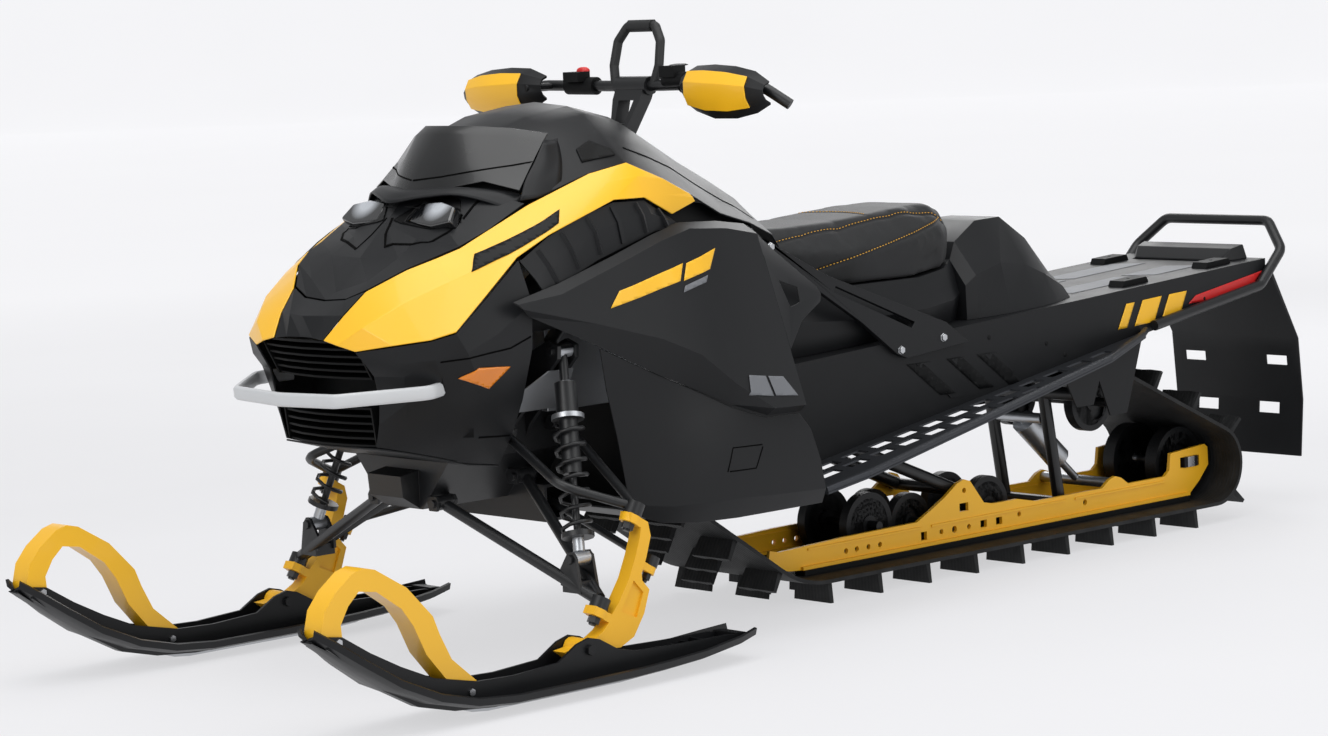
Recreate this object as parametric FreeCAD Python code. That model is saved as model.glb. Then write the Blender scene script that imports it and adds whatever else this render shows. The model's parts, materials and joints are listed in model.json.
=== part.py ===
"""Mountain snowmobile with a 146 inch track, at its real size.

Row frame, in millimetres: +X forward, +Y to the rider's left, +Z up. The origin is on the ground,
on the centre plane, under the middle of the overall length.
"""

import FreeCAD
import Part
import math
import os

OUT = "parts"
Vec = FreeCAD.Vector
UP = Vec(0, 0, 1)
ACROSS = Vec(0, 1, 0)

# Driving dimensions
ski_stance = 904.0          # between the two ski centre lines
ski_bolt_x = 955.0          # station of the ski bolts
ski_bolt_z = 78.0
caster = 30.0               # the steering axis of a ski leans back by this many degrees
kingpin_low_x = 909.0       # lower ball joint
kingpin_low_z = 136.0
kingpin_span = 186.0        # between the lower and the upper ball joint
steer_arm = 84.0            # from the kingpin axis to the tie rod's ball joint
steer_arm_height = 136.0    # of the tie rod's ball joint above the lower one, along the kingpin
running_gap = 0.3           # free space left where two pieces only touch

track_width = 381.0
belt = 8.0                  # thickness of the track's belt
lug_height = 42.0
lug_rows = 52
wheel_rear_x = -1225.0
wheel_rear_r = 84.0
rail_nose_x = 40.0          # where the rails start to curve up
rail_nose_r = 230.0
drive_x = 360.0
drive_z = 318.0
drive_r = 84.0
carrier_x = -874.0
carrier_z = 315.0
carrier_r = 68.0
shoe = 11.7                 # height of the slide shoe under a rail
rail_y = 107.0              # centre of a rail
rail_height = 52.0
rail_web = 8.0

track_side_gap = 9.5        # between the track's edge and the tunnel's outer face
tunnel_half = track_width / 2 + track_side_gap
tunnel_wall = 4.0
tunnel_front_x = 300.0
tunnel_rear_x = wheel_rear_x - 180.0
tunnel_top_z = 509.0        # at x = 0
tunnel_rise = 0.060         # the top climbs to the rear by this share
tunnel_low_z = 302.0        # lower edge of the side at x = 0
tunnel_low_rise = 0.163

steer_tilt = 25.0           # the steering column leans back by this many degrees
steer_x = 391.0
steer_z = 977.0
bar_r = 11.0

belt_inside_z = lug_height + belt
rail_low_z = belt_inside_z + running_gap + shoe
wheel_rear_z = belt_inside_z + running_gap + wheel_rear_r


def rad(degrees):
    return math.radians(degrees)


def box(x0, y0, z0, x1, y1, z1):
    return Part.makeBox(x1 - x0, y1 - y0, z1 - z0, Vec(x0, y0, z0))


def rod(start, end, radius):
    start, end = Vec(*start), Vec(*end)
    along = end - start
    return Part.makeCylinder(radius, along.Length, start, along)


def hollow_rod(start, end, outer, inner):
    return rod(start, end, outer).cut(rod(start, end, inner))


def fused(pieces):
    first, rest = pieces[0], pieces[1:]
    return first.fuse(rest).removeSplitter() if rest else first


def mirrored(shape):
    return shape.mirror(Vec(0, 0, 0), ACROSS)


def pair(shape):
    """A left piece and its mirror image, as two solids of one node."""
    return Part.makeCompound(shape.Solids + mirrored(shape).Solids)


def outline_xz(points, y0, y1):
    """A closed outline of (x, z) points, thickened from y0 to y1."""
    wire = Part.makePolygon([Vec(x, y0, z) for x, z in points + points[:1]])
    return Part.Face(wire).extrude(Vec(0, y1 - y0, 0))


def outline_xy(points, z0, z1):
    wire = Part.makePolygon([Vec(x, y, z0) for x, y in points + points[:1]])
    return Part.Face(wire).extrude(Vec(0, 0, z1 - z0))


def outline_yz(points, x0, x1):
    wire = Part.makePolygon([Vec(x0, y, z) for y, z in points + points[:1]])
    return Part.Face(wire).extrude(Vec(x1 - x0, 0, 0))


def cell(a, b, c, d):
    """The faces between four points: one where they lie in a plane, or else two triangles."""
    normal = (b - a).cross(c - a)
    if normal.Length > 1e-9 and abs((d - a).dot(normal)) < 1e-7 * normal.Length:
        return [Part.Face(Part.makePolygon([a, b, c, d, a]))]
    return [Part.Face(Part.makePolygon([a, b, c, a])), Part.Face(Part.makePolygon([a, c, d, a]))]


def closed_solid(faces):
    solid = Part.makeSolid(Part.makeShell(faces))
    if solid.Volume < 0:
        solid.reverse()
    return solid


def from_rings(rings):
    """A solid through a row of flat closed rings that have the same number of points."""
    faces = [Part.Face(Part.makePolygon(ring + ring[:1])) for ring in (rings[0], rings[-1])]
    for low, high in zip(rings, rings[1:]):
        for k in range(len(low)):
            m = (k + 1) % len(low)
            faces += cell(low[k], low[m], high[m], high[k])
    return closed_solid(faces)


def rounded(points, bend, chords=3):
    """A line of points with each inner corner eased into an arc of that many chords."""
    points = [Vec(*p) for p in points]
    line = [points[0]]
    for before, corner, after in zip(points, points[1:], points[2:]):
        back = (before - corner).normalize()
        ahead = (after - corner).normalize()
        turn = math.pi - back.getAngle(ahead)
        centre = corner + (back + ahead).normalize() * (bend / math.cos(turn / 2))
        start = corner + back * (bend * math.tan(turn / 2))
        for k in range(chords + 1):
            angle = turn * k / chords
            line.append(centre + (start - centre) * math.cos(angle) - back * (bend * math.sin(angle)))
    return line + [points[-1]]


def swept(line, section):
    """A bar of one section, given as (side, up) points, mitred at every point of its line."""
    ways = [(b - a).normalize() for a, b in zip(line, line[1:])]
    up = UP if abs(ways[0].z) < 0.9 else Vec(1, 0, 0)
    side = up.cross(ways[0]).normalize()
    rise = ways[0].cross(side)
    offsets = [side * s + rise * u for s, u in section]
    rings = [[line[0] + d for d in offsets]]
    for point, before, after in zip(line[1:], ways, ways[1:] + ways[-1:]):
        square = (before + after).normalize()
        offsets = [d - before * (d.dot(square) / before.dot(square)) for d in offsets]
        rings.append([point + d for d in offsets])
        offsets = [d - after * d.dot(after) for d in offsets]
    return from_rings(rings)


def many_sided(radius, sides):
    turn = 2 * math.pi / sides
    return [(radius * math.cos(turn * (k + 0.5)), radius * math.sin(turn * (k + 0.5))) for k in range(sides)]


def bar(start, end, radius, sides=10):
    """A straight bar with flats, as tubes, bolts and bushes are drawn where nothing turns on them."""
    return swept([Vec(*start), Vec(*end)], many_sided(radius, sides))


def bent_tube(points, bend, radius, sides=10):
    return swept(rounded(points, bend), many_sided(radius, sides))


def disc(x, z, y0, y1, radius, sides):
    """A many-sided disc on an axle along Y."""
    return outline_xz([(x + a, z + b) for a, b in many_sided(radius, sides)], y0, y1)


def set_in(rows, depth):
    """The grid of points moved square to its surface by a depth, inwards where that is positive."""
    grid = [[Vec(*p) for p in row] for row in rows]
    normals = [[Vec(0, 0, 0) for _ in row] for row in rows]
    for i in range(len(rows) - 1):
        for j in range(len(rows[0]) - 1):
            for corners in (((i, j), (i + 1, j), (i + 1, j + 1)), ((i, j), (i + 1, j + 1), (i, j + 1))):
                a, b, c = (grid[k][m] for k, m in corners)
                for k, m in corners:
                    normals[k][m] = normals[k][m] + (b - a).cross(c - a)
    return [[p - n.normalize() * depth for p, n in zip(line, along)] for line, along in zip(grid, normals)]


def moulded(rows, wall):
    """A moulded skin: a grid of outer points with a wall behind it.

    The grid's rows run along the piece and its columns across, so that row x column faces outwards.
    """
    count, width = len(rows), len(rows[0])
    outer, inner = set_in(rows, 0), set_in(rows, wall)
    faces = []

    def facet(a, b, c):
        faces.append(Part.Face(Part.makePolygon([a, b, c, a])))

    for i in range(count - 1):
        for j in range(width - 1):
            for grid in (outer, inner):
                facet(grid[i][j], grid[i + 1][j], grid[i + 1][j + 1])
                facet(grid[i][j], grid[i + 1][j + 1], grid[i][j + 1])
    rim = [(0, j) for j in range(width)] + [(i, width - 1) for i in range(1, count)]
    rim += [(count - 1, j) for j in range(width - 2, -1, -1)] + [(i, 0) for i in range(count - 2, 0, -1)]
    for (i, j), (k, m) in zip(rim, rim[1:] + rim[:1]):
        facet(outer[i][j], outer[k][m], inner[k][m])
        facet(outer[i][j], inner[k][m], inner[i][j])
    return closed_solid(faces)


def turned(rows):
    """The same grid of points with its columns in the other order, so that its other side faces outwards."""
    return [list(reversed(row)) for row in rows]


def across(rows):
    """Rows of left points that start on the centre plane, made whole by mirroring them."""
    return [[(x, y, z) for x, y, z in reversed(row)] + [(x, -y, z) for x, y, z in row[1:]] for row in rows]


def save(name, shape):
    if not shape.isValid():
        print("invalid", name)
    shape.exportStep(os.path.join(OUT, name + ".step"))
    print(name, len(shape.Solids), round(shape.Volume / 1e6, 3), "litres")


# The kingpin: a line that leans back, with u along it and w square to it towards the rear

kingpin_up = Vec(-math.sin(rad(caster)), 0, math.cos(rad(caster)))
kingpin_back = Vec(-math.cos(rad(caster)), 0, -math.sin(rad(caster)))


def at_kingpin(u, w, y=ski_stance / 2):
    """The row point that lies u up the kingpin and w behind it."""
    return Vec(kingpin_low_x, y, kingpin_low_z) + kingpin_up * u + kingpin_back * w


def in_kingpin_frame(shape):
    """Turns a left piece drawn with X forward and Z along an upright kingpin into its place."""
    shape = shape.copy()
    shape.rotate(Vec(0, 0, 0), ACROSS, -caster)
    return shape.translated(Vec(kingpin_low_x, ski_stance / 2, kingpin_low_z))


def kingpin_rod(u0, u1, radius, w=0.0, y=ski_stance / 2):
    start, end = at_kingpin(u0, w, y), at_kingpin(u1, w, y)
    return Part.makeCylinder(radius, (end - start).Length, start, end - start)


def kingpin_bar(u0, u1, radius, w=0.0, sides=12):
    return bar(tuple(at_kingpin(u0, w)), tuple(at_kingpin(u1, w)), radius, sides)


# Track

track_circles = [
    (wheel_rear_x, wheel_rear_z, wheel_rear_r + running_gap),
    (rail_nose_x, belt_inside_z + rail_nose_r, rail_nose_r),
    (drive_x, drive_z, drive_r + running_gap),
    (carrier_x, carrier_z, carrier_r + running_gap),
]


def belt_runs(offset):
    """The track's line at an offset outside its inner face: (leaving point, arriving point) per straight run."""
    runs = []
    for (x1, z1, r1), (x2, z2, r2) in zip(track_circles, track_circles[1:] + track_circles[:1]):
        along = Vec(x2 - x1, 0, z2 - z1)
        share = (r1 - r2) / along.Length
        e = along.normalize()
        side = Vec(e.z, 0, -e.x)
        m = e * share + side * math.sqrt(1 - share * share)
        runs.append((Vec(x1, 0, z1) + m * (r1 + offset), Vec(x2, 0, z2) + m * (r2 + offset)))
    return runs


def belt_wire(offset):
    runs = belt_runs(offset)
    edges = []
    for i, (leave, arrive) in enumerate(runs):
        edges.append(Part.LineSegment(leave, arrive).toShape())
        x, z, r = track_circles[(i + 1) % len(track_circles)]
        centre = Vec(x, 0, z)
        following = runs[(i + 1) % len(runs)][0]
        out = ((arrive - centre).normalize() + (following - centre).normalize()).normalize()
        edges.append(Part.Arc(arrive, centre + out * (r + offset), following).toShape())
    return Part.Wire(edges)


lug_bite = 2.0
lug_wide = 106.0
lug_narrow = 92.0
lug_outer_y = track_width / 2 - lug_wide / 2 - 2.0
lug_inner_y = 40.0
lug_root = (7.0, 6.0, 13.0)     # from a lug's middle to its back, its grooves and its ridges, at the root
lug_tip = (4.5, 4.0, 8.5)       # and at the tip
lug_grooves = 3
lug_taper = 0.88                # a lug's width at the root, as a share of its width at the tip


def lug(centre_y, width):
    """One lug, standing on z = 0: a flat back and a ridged face, thick and narrow at its root, wide at its tip."""
    def ring(half, reach, z):
        back, groove, ridge = reach
        steps = 2 * (lug_grooves - 1)
        face = [(ridge if k % 2 else groove, half * (2 * k / steps - 1)) for k in range(steps + 1)]
        return [Vec(x, y + centre_y, z) for x, y in [(-back, -half)] + face + [(-back, half)]]

    return from_rings([ring(width / 2 * lug_taper, lug_root, -lug_bite), ring(width / 2, lug_tip, lug_height)])


def make_track():
    outer, inner = belt_wire(belt), belt_wire(0)
    ring = Part.Face(outer).extrude(Vec(0, track_width, 0)).cut(Part.Face(inner).extrude(Vec(0, track_width, 0)))
    ring.translate(Vec(0, -track_width / 2, 0))
    lugs = []
    samples = belt_wire(belt).discretize(Number=lug_rows * 8 + 1)
    for row in range(lug_rows):
        here, ahead = samples[row * 8], samples[row * 8 + 1]
        along = (ahead - samples[row * 8 - 1 if row else -2]).normalize()
        out = Vec(along.z, 0, -along.x)
        side = 1 if row % 2 else -1
        for centre_y, width in ((side * lug_outer_y, lug_wide), (-side * lug_inner_y, lug_narrow)):
            piece = lug(centre_y, width)
            piece.Placement = FreeCAD.Placement(here, FreeCAD.Rotation(along * -1, ACROSS, out, "ZXY"))
            lugs.append(piece)
    return ring.fuse(lugs)


os.makedirs(OUT, exist_ok=True)
save("track", make_track())


# Slide rails and shoes

bracket_x = -461.0          # the front arm's shaft passes through the rails here
bracket_z = 166.0
rail_rear_x = -1290.0
slot_z = wheel_rear_z + 4   # the rear axle's blocks sit in slots of the rails
slot_half = (34.0, 12.0)


def rail_profile():
    top = rail_low_z + rail_height
    nose = belt_inside_z + rail_nose_r
    curve = rail_nose_r - shoe
    low = [(rail_nose_x + curve * math.sin(rad(a)), nose - curve * math.cos(rad(a))) for a in (0, 9, 18, 26)]
    tip_x, tip_z = low[-1]
    return [(rail_rear_x + 70, rail_low_z)] + low + [
        (tip_x - 8, tip_z + 30), (tip_x - 34, tip_z + 24), (rail_nose_x - 6, top - 4), (rail_nose_x - 130, top),
        (bracket_x + 150, top + 2), (bracket_x + 106, top + 22), (bracket_x + 62, top + 44), (bracket_x + 20, bracket_z + 18),
        (bracket_x, bracket_z + 24), (bracket_x - 20, bracket_z + 18), (bracket_x - 62, top + 18), (bracket_x - 92, top + 12),
        (bracket_x - 170, top + 12), (bracket_x - 230, top), (-916, top), (-940, top + 16), (-961, top + 22),
        (-982, top + 16), (-1006, top), (slot_front - 2, top), (slot_front - 18, top + 12), (slot_front - 24, slot_z + 26),
        (rail_rear_x + 10, slot_z + 34), (rail_rear_x, slot_z + 26), (rail_rear_x - 2, top + 10), (rail_rear_x + 30, rail_low_z + 30),
    ]


slot_front = wheel_rear_x + 92
foot_x, foot_z = -805.0, 94.0       # the rear arm's foot between the rails
bead_breaks = [foot_x, -338.0]      # shafts pass the bead here
rail_windows = [(-331, 22, 9, 9), (-520, 24, 10, 8), (-570, 24, 10, 8), (bracket_x + 2, rail_height + 16, 14, 9)]
rail_holes = [(-94, 22, 6), (-126, 22, 6), (-161, 22, 6), (-196, 22, 6), (-386, 24, 6), (-427, 24, 8), (-473, 24, 6), (-636, 30, 6), (-856, 28, 7)]


def make_rail():
    """A rail: a web with a foot and a bead along it, pierced where the real one is lightened."""
    side = rail_web / 2
    web = outline_xz(rail_profile(), rail_y - side, rail_y + side)
    foot = box(rail_rear_x + 74, rail_y - 11, rail_low_z, rail_nose_x, rail_y + 11, rail_low_z + 7)
    bead = box(slot_front, rail_y - side - 3, rail_low_z + 38, rail_nose_x - 20, rail_y + side + 3, rail_low_z + 43)
    bead = bead.cut([box(x - 16, 0, 0, x + 16, rail_y + 20, 200) for x in bead_breaks])
    rail = fused([web, foot, bead])
    through = (rail_y - 20, rail_y + 20)
    for x, rise, half_x, half_z in rail_windows:
        z = rail_low_z + rise
        rail = rail.cut(box(x - half_x, through[0], z - half_z, x + half_x, through[1], z + half_z))
    for x, rise, radius in rail_holes:
        rail = rail.cut(disc(x, rail_low_z + rise, *through, radius, 8))
    rail = rail.cut(disc(bracket_x, bracket_z, *through, 6, 8))
    slot = [wheel_rear_x - slot_half[0], wheel_rear_x + slot_half[0]]
    return rail.cut(box(slot[0], through[0], slot_z - slot_half[1], slot[1], through[1], slot_z + slot_half[1]))


save("slide_rails", pair(make_rail()))


def make_shoe():
    low = belt_inside_z + running_gap
    return box(rail_rear_x + 80, rail_y - 15, low, rail_nose_x, rail_y + 15, rail_low_z - running_gap)


save("slide_shoes", pair(make_shoe()))


# Wheels that run on the track

def wheel(x, z, y, radius, width, hub):
    """A dished wheel on an axle along Y: a rim, a thin web and a hub."""
    sides = 16
    rim, web = width / 2, 4
    solid = disc(x, z, y - rim, y + rim, radius, sides)
    for y0, y1 in ((y - rim - 1, y - web), (y + web, y + rim + 1)):
        solid = solid.cut(disc(x, z, y0, y1, radius - 13, sides))
    return solid.fuse(disc(x, z, y - hub, y + hub, radius * 0.3, 10))


def shaft(x, z, reach, radius=10.0):
    return bar((x, -reach, z), (x, reach, z), radius)


rail_inside = rail_y - rail_web / 2 - running_gap
tunnel_inside = tunnel_half - tunnel_wall - running_gap
idler_stations = [(-205.0, 71.0, 62.0), (-338.0, 62.0, 56.0), (-580.0, 66.0, 60.0)]   # x, wheel radius, offset from the middle
wheels = []
for station, radius, offset in idler_stations:
    height = belt_inside_z + running_gap + radius
    for side in (-1, 1):
        wheels.append(wheel(station, height, side * offset, radius, 22, 13))
    wheels.append(shaft(station, height, rail_inside))
for side in (-1, 1):
    wheels.append(wheel(wheel_rear_x, wheel_rear_z, side * 62, wheel_rear_r, 32, 18))
    wheels.append(wheel(carrier_x, carrier_z, side * 110, carrier_r, 24, 15))
    block_in, block_out = side * (rail_y - 9), side * (rail_y + 9)
    wheels.append(box(wheel_rear_x - 24, min(block_in, block_out), slot_z - slot_half[1] + running_gap,
                      wheel_rear_x + 24, max(block_in, block_out), slot_z + slot_half[1] - running_gap))
wheels.append(shaft(wheel_rear_x, wheel_rear_z, rail_y - 8))
wheels.append(shaft(carrier_x, carrier_z, tunnel_inside))
save("idler_wheels", wheels[0].fuse(wheels[1:]))


# Drive axle with its two sprockets

def sprocket(y):
    """A toothed driver: a disc with pegs that reach almost to the belt."""
    solid = disc(drive_x, drive_z, y - 14, y + 14, drive_r - 14, 16)
    for k in range(8):
        peg = box(drive_r - 20, y - 9, -8, drive_r - 1, y + 9, 8)
        peg.rotate(Vec(0, 0, 0), ACROSS, 45 * k)
        solid = solid.fuse(peg.translated(Vec(drive_x, 0, drive_z)))
    return solid


save("drive_axle", fused([shaft(drive_x, drive_z, tunnel_inside - 1, 14), sprocket(-95), sprocket(95)]))


# Tunnel, running boards and what stands on them

def tunnel_top(x):
    return tunnel_top_z - tunnel_rise * x


def tunnel_low(x):
    return tunnel_low_z - tunnel_low_rise * x


rear_pivot_x = -762.0       # upper pivot of the rear suspension arm
rear_pivot_z = 345.0
front_pivot_x = -20.0       # upper pivot of the front suspension arm
front_pivot_z = 345.0
tunnel_tabs = [(rear_pivot_x, rear_pivot_z, 80), (carrier_x, carrier_z, 90)]
rib_proud = 2.5             # the tunnel's pressed ribs stand out by this much
ribs = [(-228, 467, 82), (-334, 466, 66), (-438, 466, 44)]      # front upper corner x, z and height
anchor_x = [-977.0, -1270.0]        # the two pairs of cargo anchors along the tunnel
anchor_y = 150.0
anchor_bore = 4.25          # radius of the hole for an M8 bolt, through an anchor and the tunnel


def anchor_bores():
    return [rod((x, y, tunnel_top(x) - 20), (x, y, tunnel_top(x) + 60), anchor_bore) for x in anchor_x for y in (-anchor_y, anchor_y)]



def make_tunnel():
    half, wall = tunnel_half, tunnel_wall
    front, rear = tunnel_front_x, tunnel_rear_x
    drop = drive_x + drive_r + belt + lug_height + 14

    def section(inset, x0, x1):
        return [(x0, tunnel_low(x0)), (x1, tunnel_low(x1)), (x1, tunnel_top(x1) - inset), (x0, tunnel_top(x0) - inset)]

    outer = outline_xz(section(0, rear, front), -half, half)
    outer = outer.fuse(box(front, -half, tunnel_low(front) + 20, drop + wall, half, tunnel_top(front)))
    for x, z, wide in tunnel_tabs:
        tab = [(x - wide, tunnel_low(x - wide) + 5), (x - 28, z - 24), (x + 28, z - 24), (x + wide, tunnel_low(x + wide) + 5)]
        outer = outer.fuse(outline_xz(tab, -half, half))
    for x, z, height in ribs:
        lean = 1.25 * height
        rib = [(x, z), (x - 44, z), (x - 44 - lean, z - height), (x - lean, z - height)]
        outer = outer.fuse(outline_xz(rib, -half - rib_proud, half + rib_proud))
    hollow = [(rear - 5, 0), (front, 0), (front, tunnel_top(front) - wall), (rear - 5, tunnel_top(rear - 5) - wall)]
    inner = outline_xz(hollow, -half + wall, half - wall)
    inner = inner.fuse(box(front, -half + wall, 0, drop, half - wall, tunnel_top(front) - wall))
    return outer.cut([inner] + anchor_bores())


save("tunnel", make_tunnel())


def make_board():
    """A running board: a plate along the tunnel's lower edge with grip holes and a raised outer tube."""
    def z(x):
        return tunnel_low(x) + 2

    plan = [(236, tunnel_half), (236, 392), (120, 396), (-300, 352), (-739, 300), (-930, 236), (-965, tunnel_half)]
    slab = outline_xy(plan, -60, 700)
    plate = outline_xz([(270, z(270)), (-970, z(-970)), (-970, z(-970) + 4), (270, z(270) + 4)], tunnel_half, 420)
    plate = plate.common(slab)
    holes = []
    for row, y0 in enumerate((226, 276)):
        for k in range(13):
            x = 160 - 78 * k - 30 * row
            edge = 392 + (x - 120) * 0.105
            if y0 + 44 < edge:
                holes.append(box(x - 27, y0, z(x) - 60, x + 27, y0 + 30, z(x) + 60))
    plate = plate.cut(Part.makeCompound(holes))
    line = [(236, 384, z(236) + 8), (120, 388, z(120) + 8), (-300, 344, z(-300) + 8), (-739, 292, z(-739) + 8),
            (-925, 230, z(-925) + 8), (-962, 209, z(-962) + 8)]
    return plate.fuse(bent_tube(line, 30, 8, 8))


board = make_board()
save("running_boards", pair(board))


# Bodywork, left half: each skin is a grid of points from front to rear

skin = 3.5
yellow_rows = [
    [(1214, 76, 648), (1212, 112, 640), (1200, 150, 629)],
    [(1180, 95, 690), (1188, 160, 672), (1166, 218, 640)],
    [(1137, 110, 732), (1130, 205, 712), (1118, 268, 648)],
    [(1083, 165, 769), (1050, 248, 748), (1085, 301, 661)],
    [(1035, 195, 788), (1000, 268, 768), (1010, 302, 722)],
    [(992, 210, 803), (950, 275, 797), (933, 302, 785)],
    [(845, 235, 873), (850, 272, 850), (853, 302, 820)],
    [(694, 240, 922), (685, 262, 902), (670, 282, 872)],
    [(598, 240, 937), (590, 260, 910), (584, 274, 870)],
    [(505, 243, 900), (503, 254, 868), (501, 260, 832)],
    [(440, 244, 868), (436, 250, 860), (432, 252, 852)],
]
nose_side_rows = [
    [(1199, 150, 626.5), (1182, 155, 604), (1165, 158, 580), (1155, 158, 535), (1152, 150, 490), (1150, 136.6, 447)],
    [(1165, 218, 636.2), (1158, 218, 605), (1140, 215, 580), (1128, 205, 530), (1115, 185, 480), (1110, 165, 437)],
    [(1117, 268, 644.2), (1110, 268, 610), (1090, 260, 580), (1070, 250, 530), (1050, 225, 470), (1045, 180, 420)],
    [(1084, 301, 657), (1062, 305, 620), (1035, 292, 580), (1005, 272, 528), (985, 235, 465), (975, 185, 400)],
    [(1008, 302, 716), (992, 312, 650), (965, 300, 590), (945, 270, 520), (940, 235, 455), (930, 188, 394)],
    [(930, 302, 779), (915, 318, 700), (905, 302, 614), (902, 264, 515), (900, 228, 450), (898, 183, 389)],
]
belly_rows = [
    [(1163, 0, 442), (1158, 80, 442), (1149, 139, 442)],
    [(1112, 0, 430), (1112, 90, 431), (1109, 164, 433)],
    [(1047, 0, 413), (1046, 95, 414), (1044, 179, 416)],
    [(976, 0, 396), (975, 95, 396), (974, 184, 396)],
    [(931, 0, 389), (930, 95, 389), (929, 187, 390)],
    [(899, 0, 384), (898, 95, 384), (897, 182, 385)],
]
nose_cap_rows = [
    [(1207, 0, 650), (1210, 40, 650), (1213, 72, 648)],
    [(1201, 0, 689), (1192, 50, 690), (1179, 91, 691)],
    [(1150, 0, 712), (1148, 60, 716), (1136, 106, 732)],
]
hood_rows = [
    [(1146, 0, 714), (1144, 60, 718), (1132, 106, 735)],
    [(1120, 0, 726), (1112, 85, 748), (1081, 161, 771)],
    [(1060, 0, 785), (1050, 100, 786), (1034, 190, 791)],
    [(997, 0, 845), (1000, 95, 818), (990, 205, 806)],
    [(960, 0, 880), (955, 100, 860), (930, 219.9, 833.4)],
    [(940, 0, 897), (895, 110, 908), (848, 229, 876)],
]
windshield_rows = [
    [(944, 0, 899), (915, 75, 905), (878, 150, 918), (845, 214, 900)],
    [(905, 0, 950), (888, 75, 950), (848, 140, 950), (800, 196, 940)],
    [(865, 0, 1004), (850, 75, 1003), (808, 134, 997), (752, 180, 985)],
    [(840, 0, 1020), (826, 75, 1019), (786, 128, 1013), (730, 170, 1000)],
]
console_rows = [
    [(812, 0, 1004), (805, 75, 1003), (772, 124, 996), (722, 166, 985), (780, 232, 895)],
    [(720, 0, 1036), (716, 90, 1030), (705, 135, 1015), (690, 178, 985), (694, 236, 921)],
    [(613, 0, 1053), (610, 90, 1045), (605, 130, 1030), (598, 174, 990), (598, 236, 936)],
    [(502, 0, 1028), (500, 85, 1018), (498, 120, 1005), (496, 168, 960), (503, 239, 899)],
    [(420, 0, 985), (418, 80, 974), (417, 112, 962), (418, 158, 926), (440, 241.2, 868)],
    [(342, 0, 944), (340, 75, 932), (339, 105, 920), (338, 150, 884), (350, 236, 822)],
    [(250, 0, 903), (248, 65, 890), (247, 92, 878), (244, 135, 846), (250, 215, 796)],
    [(165, 0, 861), (164, 55, 848), (162, 80, 836), (158, 118, 806), (160, 185, 765)],
    [(128, 0, 800), (127, 50, 794), (126, 76, 785), (124, 112, 762), (120, 175, 722)],
]
side_rows = [
    [(978, 338, 707), (972, 345, 702), (962, 348, 692), (940, 338, 676)],
    [(860, 326, 730), (866, 346, 712), (790, 358, 650), (770, 338, 604)],
    [(709, 312, 769), (712, 338, 756), (650, 382, 610), (640, 352, 540)],
    [(600, 302, 800), (600, 328, 788), (570, 400, 574), (560, 368, 505)],
    [(516, 292, 818), (512, 318, 806), (500, 420, 512), (490, 390, 470)],
    [(400, 272, 812), (398, 300, 798), (405, 424, 456), (400, 396, 440)],
    [(303, 250, 799), (300, 284, 780), (300, 404, 450), (298, 384, 436)],
]
lower_rows = [
    [(770, 336, 602.2), (745, 322, 520), (720, 318, 430), (705, 330, 300), (700, 322, 280)],
    [(640, 349, 541.4), (636, 352, 470), (632, 362, 400), (630, 372, 290), (640, 350, 258)],
    [(560, 364, 504), (560, 376, 450), (560, 392, 380), (565, 396, 290), (575, 376, 252)],
    [(490, 388, 466), (485, 396, 420), (480, 402, 360), (480, 402, 290), (480, 386, 250)],
    [(400, 394, 436), (390, 399, 400), (380, 403, 340), (380, 403, 285), (380, 386, 250)],
    [(298, 382, 432), (280, 394, 400), (262, 400, 340), (250, 400, 280), (246, 384, 250)],
]
vent_rows = [
    [(925, 300, 776), (905, 318, 742), (885, 322, 712)],
    [(853, 298, 815), (840, 314, 778), (822, 320, 737)],
    [(760, 287.5, 846.2), (750, 304, 812), (740, 308, 764)],
    [(670, 278, 866), (662, 292, 832), (655, 296, 784)],
    [(584, 270, 864), (578, 284, 838), (572, 288, 806)],
    [(505, 256, 826), (500, 268, 816), (495, 276, 812)],
]


def louvres(rows, count):
    """Raised bars across a panel, one after another from its first row to its last."""
    bars = []
    for k in range(count):
        place = (k + 0.7) * (len(rows) - 1) / (count + 0.4)
        i = int(place)
        share = place - i
        line = [Vec(*a) * (1 - share) + Vec(*b) * share for a, b in zip(rows[i], rows[i + 1])]
        start, middle, end = line[0], line[len(line) // 2], line[-1]
        bars.append(swept([start * 0.85 + middle * 0.15, middle, end * 0.85 + middle * 0.15], [(-3.5, -5), (3.5, -5), (3.5, 5), (-3.5, 5)]))
    return bars


save("lower_sides", pair(moulded(turned(lower_rows), skin)))
save("vent_panels", pair(moulded(turned(vent_rows), skin).fuse(louvres(vent_rows, 6))))
for name, rows in (("hood_panel", yellow_rows), ("side_panel", side_rows)):
    panel = moulded(turned(rows), skin)
    save(name + "_left", panel)
    save(name + "_right", mirrored(panel))

trim_rows = [
    [(299.5, 256, 797), (299.5, 300, 736), (299.5, 366, 556)],
    [(236, 264, 742), (234, 298, 690), (238, 338, 606)],
    [(150, 291, 665), (143, 298, 650), (150, 303, 634)],
]
trim_hole = [(270, 686), (214, 668), (222, 640), (256, 634)]
trim = moulded(turned(trim_rows), skin).cut(outline_xz(trim_hole, 200, 400))
save("side_trims", pair(trim))

hull_front_x = 985.0
hull_rear_x = 700.0
hull_half = 140.0
hull_low = 305.0
hull_top = 475.0
steer_post_r = 15.0
post_clear = 6.0
steer_up = Vec(-math.sin(rad(steer_tilt)), 0, math.cos(rad(steer_tilt)))
steer_point = Vec(steer_x, 0, steer_z)


def post_rod(below, above, radius):
    start = steer_point - steer_up * below
    return Part.makeCylinder(radius, below + above, start, steer_up)


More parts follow.
